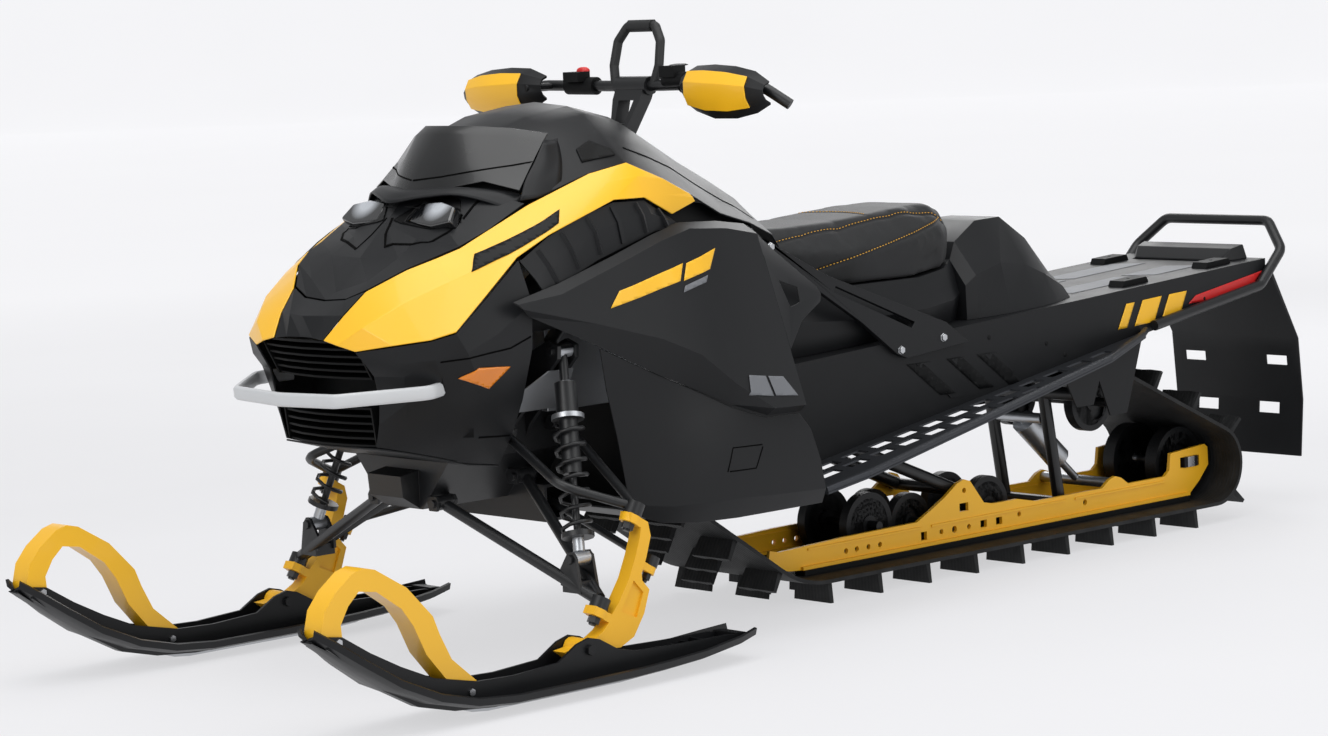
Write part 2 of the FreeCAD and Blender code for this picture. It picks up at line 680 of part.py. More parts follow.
belly = moulded(turned(across(belly_rows)), skin)
belly = belly.cut(box(hull_rear_x, -hull_half - running_gap, 300, hull_front_x + running_gap, hull_half + running_gap, 500))
save("belly_pan", belly)
floor_line = [(691.5, 285), (640, 263), (514, 257)]
floor_edge = [(691.5, 314), (640, 340), (575, 366), (514, 376)]


def make_floor():
    """The body's floor behind the bulkhead: a plate before the tunnel and a strip on each side of it."""
    under = floor_line + [(x, z + skin) for x, z in reversed(floor_line)]
    plan = floor_edge + [(x, -y) for x, y in reversed(floor_edge)]
    plate = outline_xz(under, -400, 400).common(outline_xy(plan, 200, 320))
    z = floor_line[-1][1]
    beside = tunnel_half + running_gap
    strip = outline_xy([(515, beside), (515, 376), (480, 380), (300, 380), (254, 378), (254, beside)], z, z + skin)
    return fused([plate, strip, mirrored(strip)])


save("belly_floor", make_floor())
save("nose_cap", moulded(across(nose_cap_rows), skin))
lamp_x, lamp_y, lamp_z = 952.0, 97.0, 858.0
lamp_lean = 42.0            # the lamps' faces lean back by this many degrees


def lamp_shape(grow, depth):
    """A lens with slanted ends, thickened to both sides of its face."""
    plan = [(-26, -52), (-34, 20), (-22, 66), (14, 54), (24, 10), (20, -44)]
    centre = Vec(lamp_x, lamp_y, lamp_z)
    points = [Vec(0, y * (1 + grow / 60), z * (1 + grow / 24)) for z, y in plan]
    face = Part.Face(Part.makePolygon([p + Vec(-depth / 2, 0, 0) for p in points + points[:1]]))
    solid = face.extrude(Vec(depth, 0, 0))
    solid.rotate(Vec(0, 0, 0), ACROSS, -lamp_lean)
    return solid.translated(centre)


hood = moulded(across(hood_rows), skin)
lamp_hole = lamp_shape(0.5, 60)
hood = hood.cut(lamp_hole).cut(mirrored(lamp_hole))
save("hood", hood)
save("headlights", pair(lamp_shape(0, 26)))
save("windshield", moulded(across(windshield_rows), skin))
console = moulded(across(console_rows), skin)
console = console.cut(post_rod(200, 200, steer_post_r + post_clear))
save("console", console)


# Nose: grilles, bumper and reflectors

def nose_arc(x, y):
    """The left and right halves of a shallow bow in plan."""
    return [(x - 24, -y), (x - 7, -y * 0.55), (x, 0), (x - 7, y * 0.55), (x - 24, y)]


def slat(x, y, z, depth, thick):
    front = nose_arc(x, y)
    return outline_xy(front + [(x - 24 - depth, y), (x - 24 - depth, -y)], z, z + thick)


def grille(y, z0, x0, z1, x1, bars):
    """Slats between a sill and a head, on a back plate that follows them."""
    pieces = []
    for k in range(bars + 2):
        share = k / (bars + 1)
        pieces.append(slat(x0 + (x1 - x0) * share, y, z0 + (z1 - z0 - 4) * share, 42, 4))
    back = outline_xz([(x0 - 72, z0), (x0 - 66, z0), (x1 - 54, z1), (x1 - 66, z1)], -y, y)
    pieces.append(back)
    for side in (-1, 1):
        cheek = outline_xz([(x0 - 72, z0), (x0 - 20, z0), (x1 - 20, z1), (x1 - 66, z1)], side * y - 2, side * y + 2)
        pieces.append(cheek)
    return fused(pieces)


save("grilles", Part.makeCompound([grille(140, 572, 1176, 646, 1216, 4), grille(132, 446, 1166, 520, 1176, 4)]))

bumper_path = [(1052, 236, 556), (1120, 262, 552), (1250, 150, 543), (1262, 0, 540), (1250, -150, 543), (1120, -262, 552), (1052, -236, 556)]


def make_bumper(grow):
    half_y, half_z = 7 + grow, 13 + grow
    edge_y, edge_z = half_y - 4, half_z - 5
    section = [(-half_y, -edge_z), (-edge_y, -half_z), (edge_y, -half_z), (half_y, -edge_z),
               (half_y, edge_z), (edge_y, half_z), (-edge_y, half_z), (-half_y, edge_z)]
    return swept(rounded(bumper_path, 26), section)


save("front_bumper", make_bumper(0))
save("nose_sides", pair(moulded(turned(nose_side_rows), skin).cut(make_bumper(running_gap))))


# Frame: bulkhead, shock towers, steering box and the tubes that carry the steering

shock_top = (810.0, 275.0, 600.0)
shock_low = (893.0, 395.0, 230.0)
shock_eye_half = 17.0
upper_front = (873.0, 168.0, 446.0)
upper_rear = (722.0, 168.0, 450.0)
lower_front = (962.0, 92.0, 318.0)
lower_rear = (792.0, 126.0, 352.0)
bush_r = 14.0
bush_half = 18.0
ear = 6.0                   # thickness of the plates beside a bush
arm_r = 11.0
box_front, box_rear = 774.0, 692.0


def bolt_heads(point, inside, size=6):
    """A bolt's hexagon head and nut, on the outer faces of two plates that stand from inside to inside + ear."""
    x, y, z = point
    return [bar((x - inside - ear - 5, y, z), (x - inside - ear + 1, y, z), size, 6),
            bar((x + inside + ear - 1, y, z), (x + inside + ear + 5, y, z), size, 6)]


def ears(point, toward):
    """Two plates that hold a bush of an arm between them; toward gives where they grow from."""
    x, y, z = point
    ty, tz = toward
    inside = bush_half + running_gap
    plates = bolt_heads(point, inside, 8)
    for x0 in (x - inside - ear, x + inside):
        plates.append(outline_yz([(y - 16, z + 14), (y + 8, z + 14), (y + 14, z + 4), (y + 8, z - 14), (y - 14, z - 14), (ty, tz)], x0, x0 + ear))
    return plates


tower_wall = 9.0
tower_line = [(hull_half + 12, hull_top - 24), (shock_top[1] + 16, shock_top[2] - 14)]      # lower edge (y, z) of a shock tower


def hull_profile(inset):
    half, low, top = hull_half - inset, hull_low + inset, hull_top
    return [(-58 + inset, low), (58 - inset, low), (half, 400), (half, top), (-half, top), (-half, 400)]


def make_front_frame():
    hull = outline_yz(hull_profile(0), hull_rear_x, hull_front_x)
    hull = hull.cut(outline_yz(hull_profile(8), hull_rear_x + 8, hull_front_x - 8))
    nose = outline_xz([(hull_front_x - 2, hull_low), (hull_front_x + 40, hull_low + 26), (hull_front_x + 44, 372), (hull_front_x - 2, 380)], -50, 50)
    steering_box = box(box_rear, -166, 262, box_front, 166, 334)
    inside = box(box_rear + 6, -170, 268, box_front - 6, 170, 328)
    hull = hull.fuse(nose).fuse(steering_box).cut(inside)
    pieces = []
    for point, root in ((upper_front, (136, 440)), (upper_rear, (136, 440)), (lower_front, (70, 330)), (lower_rear, (100, 362))):
        pieces += ears(point, root)
    x, y, z = shock_top
    inside = shock_eye_half + running_gap
    for x0 in (x - inside - tower_wall, x + inside):
        pieces.append(outline_yz([(hull_half - 6, hull_top - 60)] + tower_line + [(y + 18, z + 10), (y - 10, z + 20), (hull_half - 6, 560)], x0, x0 + tower_wall))
    pieces += [bar((x0, y, z), (x0 + 8, y, z), 9, 6) for x0 in (x - inside - tower_wall - 7, x + inside + tower_wall - 1)]
    return fused([hull] + pieces + [mirrored(p) for p in pieces])


front_frame = make_front_frame()
save("front_frame", front_frame)


def make_tower_plate():
    """A light sheet over the lower edges of a shock tower, from the bulkhead up to the shock's bolt."""
    (y0, z0), (y1, z1) = tower_line
    along = Vec(0, y1 - y0, z1 - z0)
    square = Vec(0, along.z, -along.y).normalize()
    plan = [(742, 0.24), (748, 0.45), (780, 0.84), (842, 0.84), (892, 0.45), (902, 0.24)]
    points = [Vec(x, y0, z0) + along * share + square * running_gap for x, share in plan]
    return Part.Face(Part.makePolygon(points + points[:1])).extrude(square * 2.5)


save("tower_plates", pair(make_tower_plate()))
save("engine_block", box(520, -185, hull_top + running_gap, 774, 185, 740))

bearing_z = 40.0            # below the steering point, along the column


def make_upper_frame():
    """Four tubes from the shock towers and the tunnel up to the steering bearing."""
    head = post_rod(bearing_z + 30, -bearing_z + 26, steer_post_r + 12)
    tubes = []
    for side in (-1, 1):
        tubes.append(bent_tube([(802, side * 232, 612), (610, side * 216, 800), (405, side * 20, 935)], 60, 13))
        tubes.append(bent_tube([(160, side * 150, 500), (250, side * 140, 760), (405, side * 20, 925)], 60, 13))
    frame = head.fuse(tubes)
    seat = running_gap
    tunnel_block = outline_xz([(60, 400), (260, 400), (260, tunnel_top(260) + seat), (60, tunnel_top(60) + seat)], -tunnel_half, tunnel_half)
    return frame.cut(post_rod(300, 100, steer_post_r + running_gap)).cut(front_frame).cut(tunnel_block)


save("upper_frame", make_upper_frame())


# Front suspension arms and shocks

lower_end = 16.0            # of the lower arm's end above the lower ball joint, along the kingpin
upper_end = 18.0
boss_half = 8.0
stud_r = 7.0


def bush(point):
    x, y, z = point
    return bar((x - bush_half, y, z), (x + bush_half, y, z), bush_r)


def arm_end(u, above):
    """The cup of a ball joint above a spindle's boss, with its stud through the boss and a nut below."""
    low = u + boss_half + running_gap
    cup = kingpin_bar(low, low + above * 1.35, 18)
    stud = kingpin_rod(u - boss_half - 16, low + 5, stud_r)
    nut = kingpin_bar(u - boss_half - running_gap - 12, u - boss_half - running_gap, 12, 0, 6)
    return cup.fuse([stud, nut])


def make_lower_arm():
    end = at_kingpin(boss_half + lower_end + 2, 0)
    arm = arm_end(0, lower_end).fuse([bush(lower_front), bush(lower_rear)])
    for (x, y, z), ahead in ((lower_front, 4), (lower_rear, -4)):
        arm = arm.fuse(bar((x, y + 10, z - 5.5), (end.x + ahead, end.y - 8, end.z + 2), arm_r))
    x, y, z = shock_low
    inside = shock_eye_half + running_gap
    plates = bolt_heads(shock_low, inside, 9)
    for x0 in (x - inside - ear, x + inside):
        plates.append(outline_yz([(y - 30, z - 50), (y + 26, z - 62), (y + 14, z + 2), (y + 4, z + 14), (y - 8, z + 12), (y - 30, z - 20)], x0, x0 + ear))
    plates.append(outline_xy([(x - 24, y - 24), (x + 24, y - 24), (x + 22, y + 20), (x - 20, y + 20)], z - 62, z - 40))
    return arm.fuse(plates)


def make_upper_arm():
    end = at_kingpin(kingpin_span + boss_half + upper_end, 0)
    front = [(upper_front[0], upper_front[1] + 8, upper_front[2] - 3), (922, 382, 366), (end.x + 6, end.y - 6, end.z + 1)]
    rear = bar((upper_rear[0], upper_rear[1] + 8, upper_rear[2] - 5), (end.x - 3, end.y - 8, end.z + 3), 9)
    return arm_end(kingpin_span, upper_end).fuse([bent_tube(front, 45, 9), rear, bush(upper_front), bush(upper_rear)])


def make_shock(top, low, half, body_r, wire_r, turns, coil_from, coil_to):
    """A shock absorber from its top bolt to its low bolt: cylinder, collars, piston rod and a coil spring round it."""
    a, b = Vec(*top), Vec(*low)
    length = (b - a).Length
    way = (b - a).normalize()
    spring_r = body_r + wire_r + 3

    def part(s0, s1, radius, sides=12):
        return bar(tuple(a + way * (s0 * length)), tuple(a + way * (s1 * length)), radius, sides)

    def eye(point, radius):
        x, y, z = point
        return bar((x - half, y, z), (x + half, y, z), radius)

    seat = 0.025
    solid = part(0.16, 0.6, body_r - 3).fuse([
        part(0.02, 0.18, 9), part(0.16, coil_from - seat, body_r), part(0.59, coil_to + 0.04, 7),
        part(coil_from - seat, coil_from, spring_r + 3), part(coil_to, coil_to + seat, spring_r + 3),
        part(coil_to + seat, 0.97, 11), eye(top, 14), eye(low, 14)])
    gap = wire_r + running_gap
    start, stretch = coil_from * length + gap, (coil_to - coil_from) * length - 2 * gap
    steps = 8
    line = []
    for k in range(turns * steps + 1):
        angle = 2 * math.pi * k / steps
        line.append(Vec(spring_r * math.cos(angle), spring_r * math.sin(angle), stretch * k / (turns * steps)))
    coil = swept(line, many_sided(wire_r, 6))
    coil.Placement = FreeCAD.Placement(a + way * start, FreeCAD.Rotation(UP, way))
    return Part.makeCompound([solid, coil])


lower_arm, upper_arm = make_lower_arm(), make_upper_arm()
front_shock = make_shock(shock_top, shock_low, shock_eye_half, 21, 4, 7, 0.34, 0.88)
save("lower_arms", pair(lower_arm))
save("upper_arms", pair(upper_arm))
save("front_shocks", pair(front_shock))


# Spindle, drawn about an upright kingpin with X forward

foot_half = 22.0
bolt_r = 6.0
ski_point = Vec(ski_bolt_x, ski_stance / 2, ski_bolt_z)
low_point = Vec(kingpin_low_x, ski_stance / 2, kingpin_low_z)
foot_f = (ski_point - low_point).dot(kingpin_back * -1)
foot_u = (ski_point - low_point).dot(kingpin_up)


def make_spindle():
    top = kingpin_span
    column = outline_xz([
        (12, top - boss_half), (16, top + boss_half), (-30, top + boss_half), (-48, top - 12), (-56, 134), (-58, 104), (-66, 92),
        (-90, 84), (-98, 40), (-94, -8), (-72, -38), (-24, -60), (28, -100), (54, -97), (34, -82), (-4, -50),
        (-18, -28), (-24, -8), (18, -8), (18, 8), (-24, 8), (-30, 34), (-34, 82), (-30, top - 60), (-24, top - 24), (-18, top - boss_half),
    ], -15, 15)
    bosses = bar((0, 0, -boss_half), (0, 0, boss_half), 19, 12).fuse(bar((0, 0, top - boss_half), (0, 0, top + boss_half), 18, 12))
    foot = bar((foot_f, -foot_half, foot_u), (foot_f, foot_half, foot_u), 19, 12)
    arm_low = steer_arm_height - 24
    arm = outline_xy([(-50, -13), (-steer_arm, -11), (-steer_arm, 11), (-50, 13)], arm_low, arm_low + 14)
    arm = arm.fuse(Part.makeCylinder(13, 14, Vec(-steer_arm, 0, arm_low)))
    solid = column.fuse([bosses, foot, arm])
    for u in (0, top):
        solid = solid.cut(Part.makeCylinder(stud_r + running_gap, 40, Vec(0, 0, u - 20)))
    solid = solid.cut(rod((foot_f, -40, foot_u), (foot_f, 40, foot_u), bolt_r + running_gap))
    solid = solid.cut(Part.makeCylinder(5 + running_gap, 40, Vec(-steer_arm, 0, arm_low - 10)))
    for face in (-15, 15):
        pocket = outline_xz([(-44, 22), (-84, 26), (-78, 74), (-46, 84)], face - 5, face + 5)
        solid = solid.cut(pocket)
    return in_kingpin_frame(solid)


spindle = make_spindle()
save("spindle_left", spindle)
save("spindle_right", mirrored(spindle))


# Tie rods: the ball joint sits on the steering arm, with its stud down through the arm

tie_inner = (733.0, 118.0, 302.0)
tie_r = 7.5


def make_tie_rod():
    end = at_kingpin(steer_arm_height, steer_arm)
    low = steer_arm_height - 10 + running_gap
    body = bar(tie_inner, (end.x, end.y, end.z), tie_r)
    cup = kingpin_bar(low, low + 20 - 2 * running_gap, 14, steer_arm)
    stud = kingpin_rod(low - 32, low + 4, 5, steer_arm)
    nut = kingpin_bar(low - 14.6 - 12, low - 14.6, 9, steer_arm, 6)
    return body.fuse([cup, stud, nut])


tie_rod = make_tie_rod()
save("tie_rod_left", tie_rod)
save("tie_rod_right", mirrored(tie_rod))


# Skis

ski_rows = [
    (545, 36, 44), (600, 29, 60), (700, 20, 72), (800, 16, 78), (880, 14, 81), (1000, 14, 84), (1170, 14, 84),
    (1260, 22, 84), (1340, 42, 80), (1420, 78, 73), (1490, 124, 60), (1536, 158, 44), (1570, 182, 24),
]
wall_top = [(585, 50), (607, 53), (725, 55), (840, 59), (885, 69), (930, 94), (955, 100), (985, 92), (1030, 66), (1136, 60),
            (1221, 63), (1318, 84), (1391, 116), (1456, 150), (1514, 186), (1540, 190)]
ski_wall = 6.0
keel_half = 11.0
keel_deep = 8.0
runner_deep = 6.0
rib_gap = 2.0
rib_thick = 6.0
loop_bolts = [(1236, 46), (1524, 178)]      # bolts at the two feet of a ski's loop


def ski_bottom(x):
    for (x0, z0, h0), (x1, z1, h1) in zip(ski_rows, ski_rows[1:]):
        if x <= x1:
            return z0 + (z1 - z0) * (x - x0) / (x1 - x0)
    return ski_rows[-1][1]


def make_ski():
    y0 = ski_stance / 2
    rows = []
    for x, z, h in ski_rows:
        keel = keel_deep if 600 < x < 1400 else 1
        flank = [(h, 22), (h - 4, 9), (h - 20, 3), (keel_half + 6, 0), (keel_half, -keel)]
        right = [(x, y0 - y, z + rise) for y, rise in flank]
        rows.append(right + [(x, y0 + y, z + rise) for y, rise in reversed(flank)])
    plate = moulded(turned(rows), ski_wall)
    inner = foot_half + rib_gap
    pieces = [plate]
    for side in (-1, 1):
        a = y0 + side * inner
        b = y0 + side * (inner + rib_thick)
        low = [(x, ski_bottom(x) + 3) for x, z, h in reversed(ski_rows) if 585 < x < 1550]
        pieces.append(outline_xz(wall_top + [(1548, ski_bottom(1548) + 3)] + low + [(585, ski_bottom(585) + 3)], min(a, b), max(a, b)))
    for first, count, height in ((652, 6, 26), (1052, 7, 24)):
        for k in range(count):
            x = first + 26 * k
            pieces.append(box(x, y0 - inner - 1, ski_bottom(x) + 3, x + 5, y0 + inner + 1, ski_bottom(x) + height))
    pieces.append(outline_xz([(550, 39), (590, 34), (590, 54), (562, 52)], y0 - inner - rib_thick, y0 + inner + rib_thick))
    pieces.append(rod((ski_bolt_x, y0 - inner - 1, ski_bolt_z), (ski_bolt_x, y0 + inner + 1, ski_bolt_z), bolt_r))
    for side in (-1, 1):
        outside = y0 + side * (inner + rib_thick)
        pieces.append(bar((ski_bolt_x, outside - side, ski_bolt_z), (ski_bolt_x, outside + side * 7, ski_bolt_z), 10, 6))
        for x, z in loop_bolts:
            pieces.append(bar((x, outside - side, z), (x, outside + side * 4, z), 7, 6))
    return fused(pieces)


def make_runner():
    y0 = ski_stance / 2
    seat = [(x, ski_bottom(x) - keel_deep - running_gap) for x in (1240, 1170, 880, 800, 750)]
    return outline_xz([(765, 5), (800, 3), (860, 0), (1180, 0), (1215, 4)] + seat, y0 - 4, y0 + 4)


loop_half = foot_half + rib_gap - running_gap


def make_ski_loop(shell):
    y0 = ski_stance / 2
    outline = [(1552, 182), (1555, 196), (1546, 232), (1521, 262), (1483, 290), (1459, 297), (1433, 291), (1365, 250), (1310, 192),
               (1296, 157), (1272, 110), (1216, 62), (1210, 30), (1240, 26), (1289, 80), (1328, 126), (1354, 181), (1379, 215),
               (1432, 252), (1470, 258), (1494, 236), (1512, 206), (1508, 160)]
    return outline_xz(outline, y0 - loop_half, y0 + loop_half).cut(shell)


ski, runner = make_ski(), make_runner()
ski_loop = make_ski_loop(ski)
for side, placed in (("left", lambda shape: shape), ("right", mirrored)):
    save("ski_" + side, placed(ski))
    save("ski_loop_" + side, placed(ski_loop))
    save("ski_runner_" + side, placed(runner))


# Steering: post, bar, strap, hand guards and controls

bar_x, bar_z = 347.0, 1072.0
bar_half_path = [(bar_x, 80, bar_z), (bar_x + 17, 240, bar_z + 3), (bar_x + 39, 408, bar_z - 5), (bar_x + 14, 450, bar_z - 38)]


def make_post():
    stem = post_rod(bearing_z + 34, 12, steer_post_r)
    clamp = bar((bar_x, -46, bar_z), (bar_x, 46, bar_z), 19)
    foot = (386, 985)
    riser = outline_xz([(foot[0] + 15, foot[1] - 4), (bar_x + 16, bar_z - 4), (bar_x - 16, bar_z - 4), (foot[0] - 15, foot[1] - 16)], -40, 40)
    riser = riser.cut(outline_yz([(-22, bar_z - 28), (22, bar_z - 28), (14, foot[1] + 14), (-14, foot[1] + 14)], 300, 440))
    riser = riser.common(outline_yz([(-16, foot[1] - 20), (16, foot[1] - 20), (42, bar_z - 20), (42, bar_z), (-42, bar_z), (-42, bar_z - 20)], 300, 440))
    post = stem.fuse([riser, clamp])
    return post.cut(rod((bar_x, -60, bar_z), (bar_x, 60, bar_z), bar_r + 0.1))


save("steering_post", make_post())


def make_bar():
    left = bar_half_path
    path = [(x, -y, z) for x, y, z in reversed(left)] + left
    return bent_tube(path, 24, bar_r, 12)


save("handlebar", make_bar())


def make_strap():
    half = 66.0
    left = [(bar_x + 1, 56, bar_z + 2), (bar_x - 6, half, bar_z + 40), (bar_x - 16, half - 4, bar_z + 88), (bar_x - 24, 40, bar_z + 118)]
    points = left + [(x, -y, z) for x, y, z in reversed(left)]
    grip = bar((bar_x - 24, -34, bar_z + 118), (bar_x - 24, 34, bar_z + 118), 13, 8)
    hoop = bent_tube(points, 12, 10, 8).fuse(grip)
    return hoop.cut(bar((bar_x, -46 - running_gap, bar_z), (bar_x, 46 + running_gap, bar_z), 19 + 2 * running_gap)).cut(make_bar())


# hand guard sections along the bar: the station y, then (x ahead of the bar, z over the bar) from the upper edge down
guard_sections = [
    (206, [(52, 24), (66, 18), (72, 6), (70, -6), (64, -16), (54, -24)]),
    (246, [(60, 40), (86, 30), (98, 10), (98, -14), (88, -34), (66, -48)]),
    (300, [(64, 42), (94, 31), (108, 8), (107, -20), (94, -44), (70, -62)]),
    (360, [(66, 38), (94, 27), (106, 5), (104, -22), (92, -46), (68, -62)]),
    (410, [(64, 28), (86, 18), (96, 0), (93, -22), (82, -40), (62, -52)]),
    (440, [(58, 8), (72, 2), (78, -8), (76, -20), (68, -30), (56, -36)]),
]
guard_rows = [[(bar_x + ahead, y, bar_z + rise) for ahead, rise in points] for y, points in guard_sections]


def make_guard():
    shell = moulded(turned(guard_rows), 5)
    x, y, z = bar_half_path[1]
    stay = bent_tube([(x - 2, y - 14, z - 1), (x + 34, y - 10, z - 1), (x + 72, y - 8, z - 2)], 10, 7)
    return shell.fuse(stay.cut(make_bar()))


def make_guard_insert():
    """A coloured inlay that lies on the outer face of a hand guard."""
    rows = [row[1:5] for row in guard_rows[1:5]]
    outside = [[tuple(point) for point in row] for row in set_in(turned(rows), -running_gap - 2.5)]
    return moulded(outside, 2.5)


save("handguards", pair(make_guard()))
save("guard_inserts", pair(make_guard_insert()))


def around_bar(y0, y1, radius):
    """A sleeve round the left bar between two stations, on its straight middle run."""
    def at(y):
        share = (y - 80) / 160
        return (bar_x + 17 * share, y, bar_z + 3 * share)
    return rod(at(y0), at(y1), radius).cut(rod(at(y0 - 20), at(y1 + 20), bar_r + 0.1))


save("grab_strap", make_strap())


def make_brake():
    clamp = around_bar(150, 182, 17)
    master = rod((bar_x + 27, 120, bar_z + 12), (bar_x + 37, 190, bar_z + 14), 14)
    cup = box(bar_x + 19, 126, bar_z + 18, bar_x + 51, 168, bar_z + 40)
    lever = swept(rounded([(bar_x + 32, 176, bar_z + 4), (bar_x + 50, 198, bar_z - 17), (bar_x + 50, 330, bar_z - 25), (bar_x + 57, 380, bar_z - 31)], 14),
                  [(-3, -7), (3, -7), (3, 7), (-3, 7)])
    return fused([clamp, master, cup, lever]).cut(make_bar())


def make_throttle():
    block = around_bar(110, 186, 18).fuse(box(bar_x + 5, 128, bar_z + 10, bar_x + 39, 172, bar_z + 30))
    thumb = outline_xy([(bar_x - 6, 184), (bar_x - 30, 190), (bar_x - 34, 222), (bar_x - 26, 226), (bar_x - 18, 200), (bar_x + 2, 184)], bar_z - 16, bar_z - 4)
    return mirrored(fused([block, thumb]).cut(make_bar()))


save("brake_control", make_brake())
save("throttle_control", make_throttle())


# Seat

def six_sided(stations):
    """A solid through sections (x, top z, top half width, middle z, middle half width, low z, low half width)."""
    rings = []
    for x, zt, t, zm, m, zb, b in stations:
        ring = [(-b, zb), (b, zb), (m, zm), (t, zt), (-t, zt), (-m, zm)]
        rings.append([Vec(x, y, z) for y, z in ring])
    return from_rings(rings)


base_half = tunnel_half - 18        # widest half width of the seat's base, inside the struts
cushion_line = [(135, 690, 118), (40, 662, 140), (-100, 640, 150), (-300, 640, 148), (-400, 650, 130), (-445, 665, 105)]
cushion_top = [(768, 92, 736, 124), (765, 100, 716, 150), (769, 104, 706, 164), (784, 104, 716, 160), (786, 96, 726, 140), (774, 84, 732, 112)]
save("seat_cushion", six_sided([(x, zt, t, zm, m, zb, b) for (x, zb, b), (zt, t, zm, m) in zip(cushion_line, cushion_top)]))


def make_seat_base():
    front = six_sided([(x, zb - running_gap, b, (zb + tunnel_top(x)) / 2 - 8, min(b + 24, base_half), tunnel_top(x) + running_gap, min(b + 10, base_half)) for x, zb, b in cushion_line])
    hump = six_sided([
        (-445, 664, 104, 610, base_half - 34, tunnel_top(-445) + running_gap, base_half - 32),
        (-470, 700, 96, 630, base_half - 26, tunnel_top(-470) + running_gap, base_half - 22),
        (-556, 739, 78, 650, base_half - 32, tunnel_top(-556) + running_gap, base_half - 4),
        (-644, 741, 70, 640, base_half - 42, tunnel_top(-644) + running_gap, base_half),
        (-710, 690, 84, 612, base_half - 40, tunnel_top(-710) + running_gap, base_half - 6),
        (-780, 606, 92, 580, base_half - 52, tunnel_top(-780) + running_gap, base_half - 32),
    ])
    return front.fuse(hump)


save("seat_base", make_seat_base())


# Struts, rear loop, tail cap and snow flap

strut_in = tunnel_half + running_gap
strut_wide = 14.0


def make_strut():
    y0, y1 = strut_in, strut_in + strut_wide
    plate = outline_xz([(242, 776), (41, 675), (-311, 547), (-378, 500), (-190, 483), (-160, 494), (-55, 571), (94, 663), (199, 732)], y0, y1)
    plate = plate.cut(outline_xz([(15, 650), (-215, 556), (-205, 545), (22, 640)], y0 - 5, y1 + 5))
    bolts = [bar((x, y1 - 1, z), (x, y1 + 5, z), 8, 6) for x, z in ((-171, 502), (-300, 516), (196, 744))]
    return plate.fuse(bolts)


strut = make_strut()
save("side_struts", pair(strut))

loop_r = 12.0


def make_rear_loop():
    y = tunnel_half + loop_r + running_gap
    left = [(-988, y, tunnel_low(-988) + 14), (-1367, y, 534), (-1449, y, 611), (-1483, 150, 673)]
    path = left + [(x, -y0, z) for x, y0, z in reversed(left)]
    return bent_tube(path, 30, loop_r, 12)



def make_anchors():
    pads = []
    for x in anchor_x:
        for y in (-anchor_y, anchor_y):
            pad = outline_xz([(x - 45, tunnel_top(x - 45) + running_gap), (x + 45, tunnel_top(x + 45) + running_gap),
                              (x + 38, tunnel_top(x + 38) + 13), (x - 38, tunnel_top(x - 38) + 13)], y - 21, y + 21)
            pads.append(pad.cut(anchor_bores()))
    return Part.makeCompound(pads)


def make_tail_cap():
    """The low black lid over the rear end of the tunnel, that carries the tail light."""
    rings = []
    for x, low, high in ((-1330, 4, 132), (-1360, 26, 150), (-1394, 32, 158)):
        z = tunnel_top(x) + running_gap
        rings.append([Vec(x, y, z + rise) for y, rise in ((-high, 0), (high, 0), (high - 12, low), (-high + 12, low))])
    return from_rings(rings)


save("anchor_bases", make_anchors())
save("tail_cap", make_tail_cap())
save("rear_bumper", make_rear_loop())


def make_flap():
    under = tunnel_wall + running_gap
    outline = [(-1370, tunnel_top(-1370) - under), (-1403, tunnel_top(-1403) - under), (-1448, 562), (-1542, 396), (-1556, 250), (-1545, 118), (-1541, 118), (-1551, 250), (-1537, 396), (-1440, 556), (-1401, tunnel_top(-1401) - under - 6), (-1370, tunnel_top(-1370) - under - 6)]
    sheet = outline_xz(outline, -186, 186)
    return sheet.cut(box(-1600, -120, 214, -1500, -60, 240)).cut(box(-1600, 60, 214, -1500, 120, 240)).cut(box(-1600, -150, 330, -1500, -90, 352)).cut(box(-1600, 90, 330, -1500, 150, 352))


save("snow_flap", make_flap())


# Rear suspension arms and shocks

def frame_arm(top, low, y_tube, radius, low_half):
    """An arm of two tubes between a cross tube in the tunnel and one between the rails."""
    (x1, z1), (x0, z0) = top, low
    pieces = [bar((x1, -tunnel_inside, z1), (x1, tunnel_inside, z1), 15), bar((x0, -low_half, z0), (x0, low_half, z0), 13)]
    for side in (-1, 1):
        pieces.append(bar((x1, side * y_tube, z1), (x0, side * y_tube, z0), radius))
    return fused(pieces)


def make_rear_shock():
    """The thick shock absorber behind the rear arm: its upper tube lies between the arm's tubes, its lower one between the rails."""
    top, low = Vec(rear_pivot_x - 11, 0, 284), Vec(-961, 0, rail_low_z + rail_height + 6)
    seats = [(top, rear_tube_y - arm_tube_r - running_gap), (low, rail_inside)]
    pieces = [bar(tuple(top * 0.94 + low * 0.06), tuple(top * 0.35 + low * 0.65), 29, 12), bar(tuple(top), tuple(low), 9, 8)]
    pieces += [bar((point.x, -half, point.z), (point.x, half, point.z), 12) for point, half in seats]
    return fused(pieces)


arm_tube_r = 14.0
rear_tube_y = 80.0          # the rear arm's tubes run this far from the middle
save("front_arm", frame_arm((front_pivot_x, front_pivot_z), (bracket_x, bracket_z), 84, arm_tube_r, rail_inside))
save("rear_arm", frame_arm((rear_pivot_x, rear_pivot_z), (foot_x, foot_z), rear_tube_y, arm_tube_r, rail_inside))
save("rear_shock", make_rear_shock())
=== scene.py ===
import json
import math

import bmesh
import bpy
import numpy as np
from mathutils import Matrix, Vector
from mathutils.bvhtree import BVHTree
from mathutils.geometry import delaunay_2d_cdt


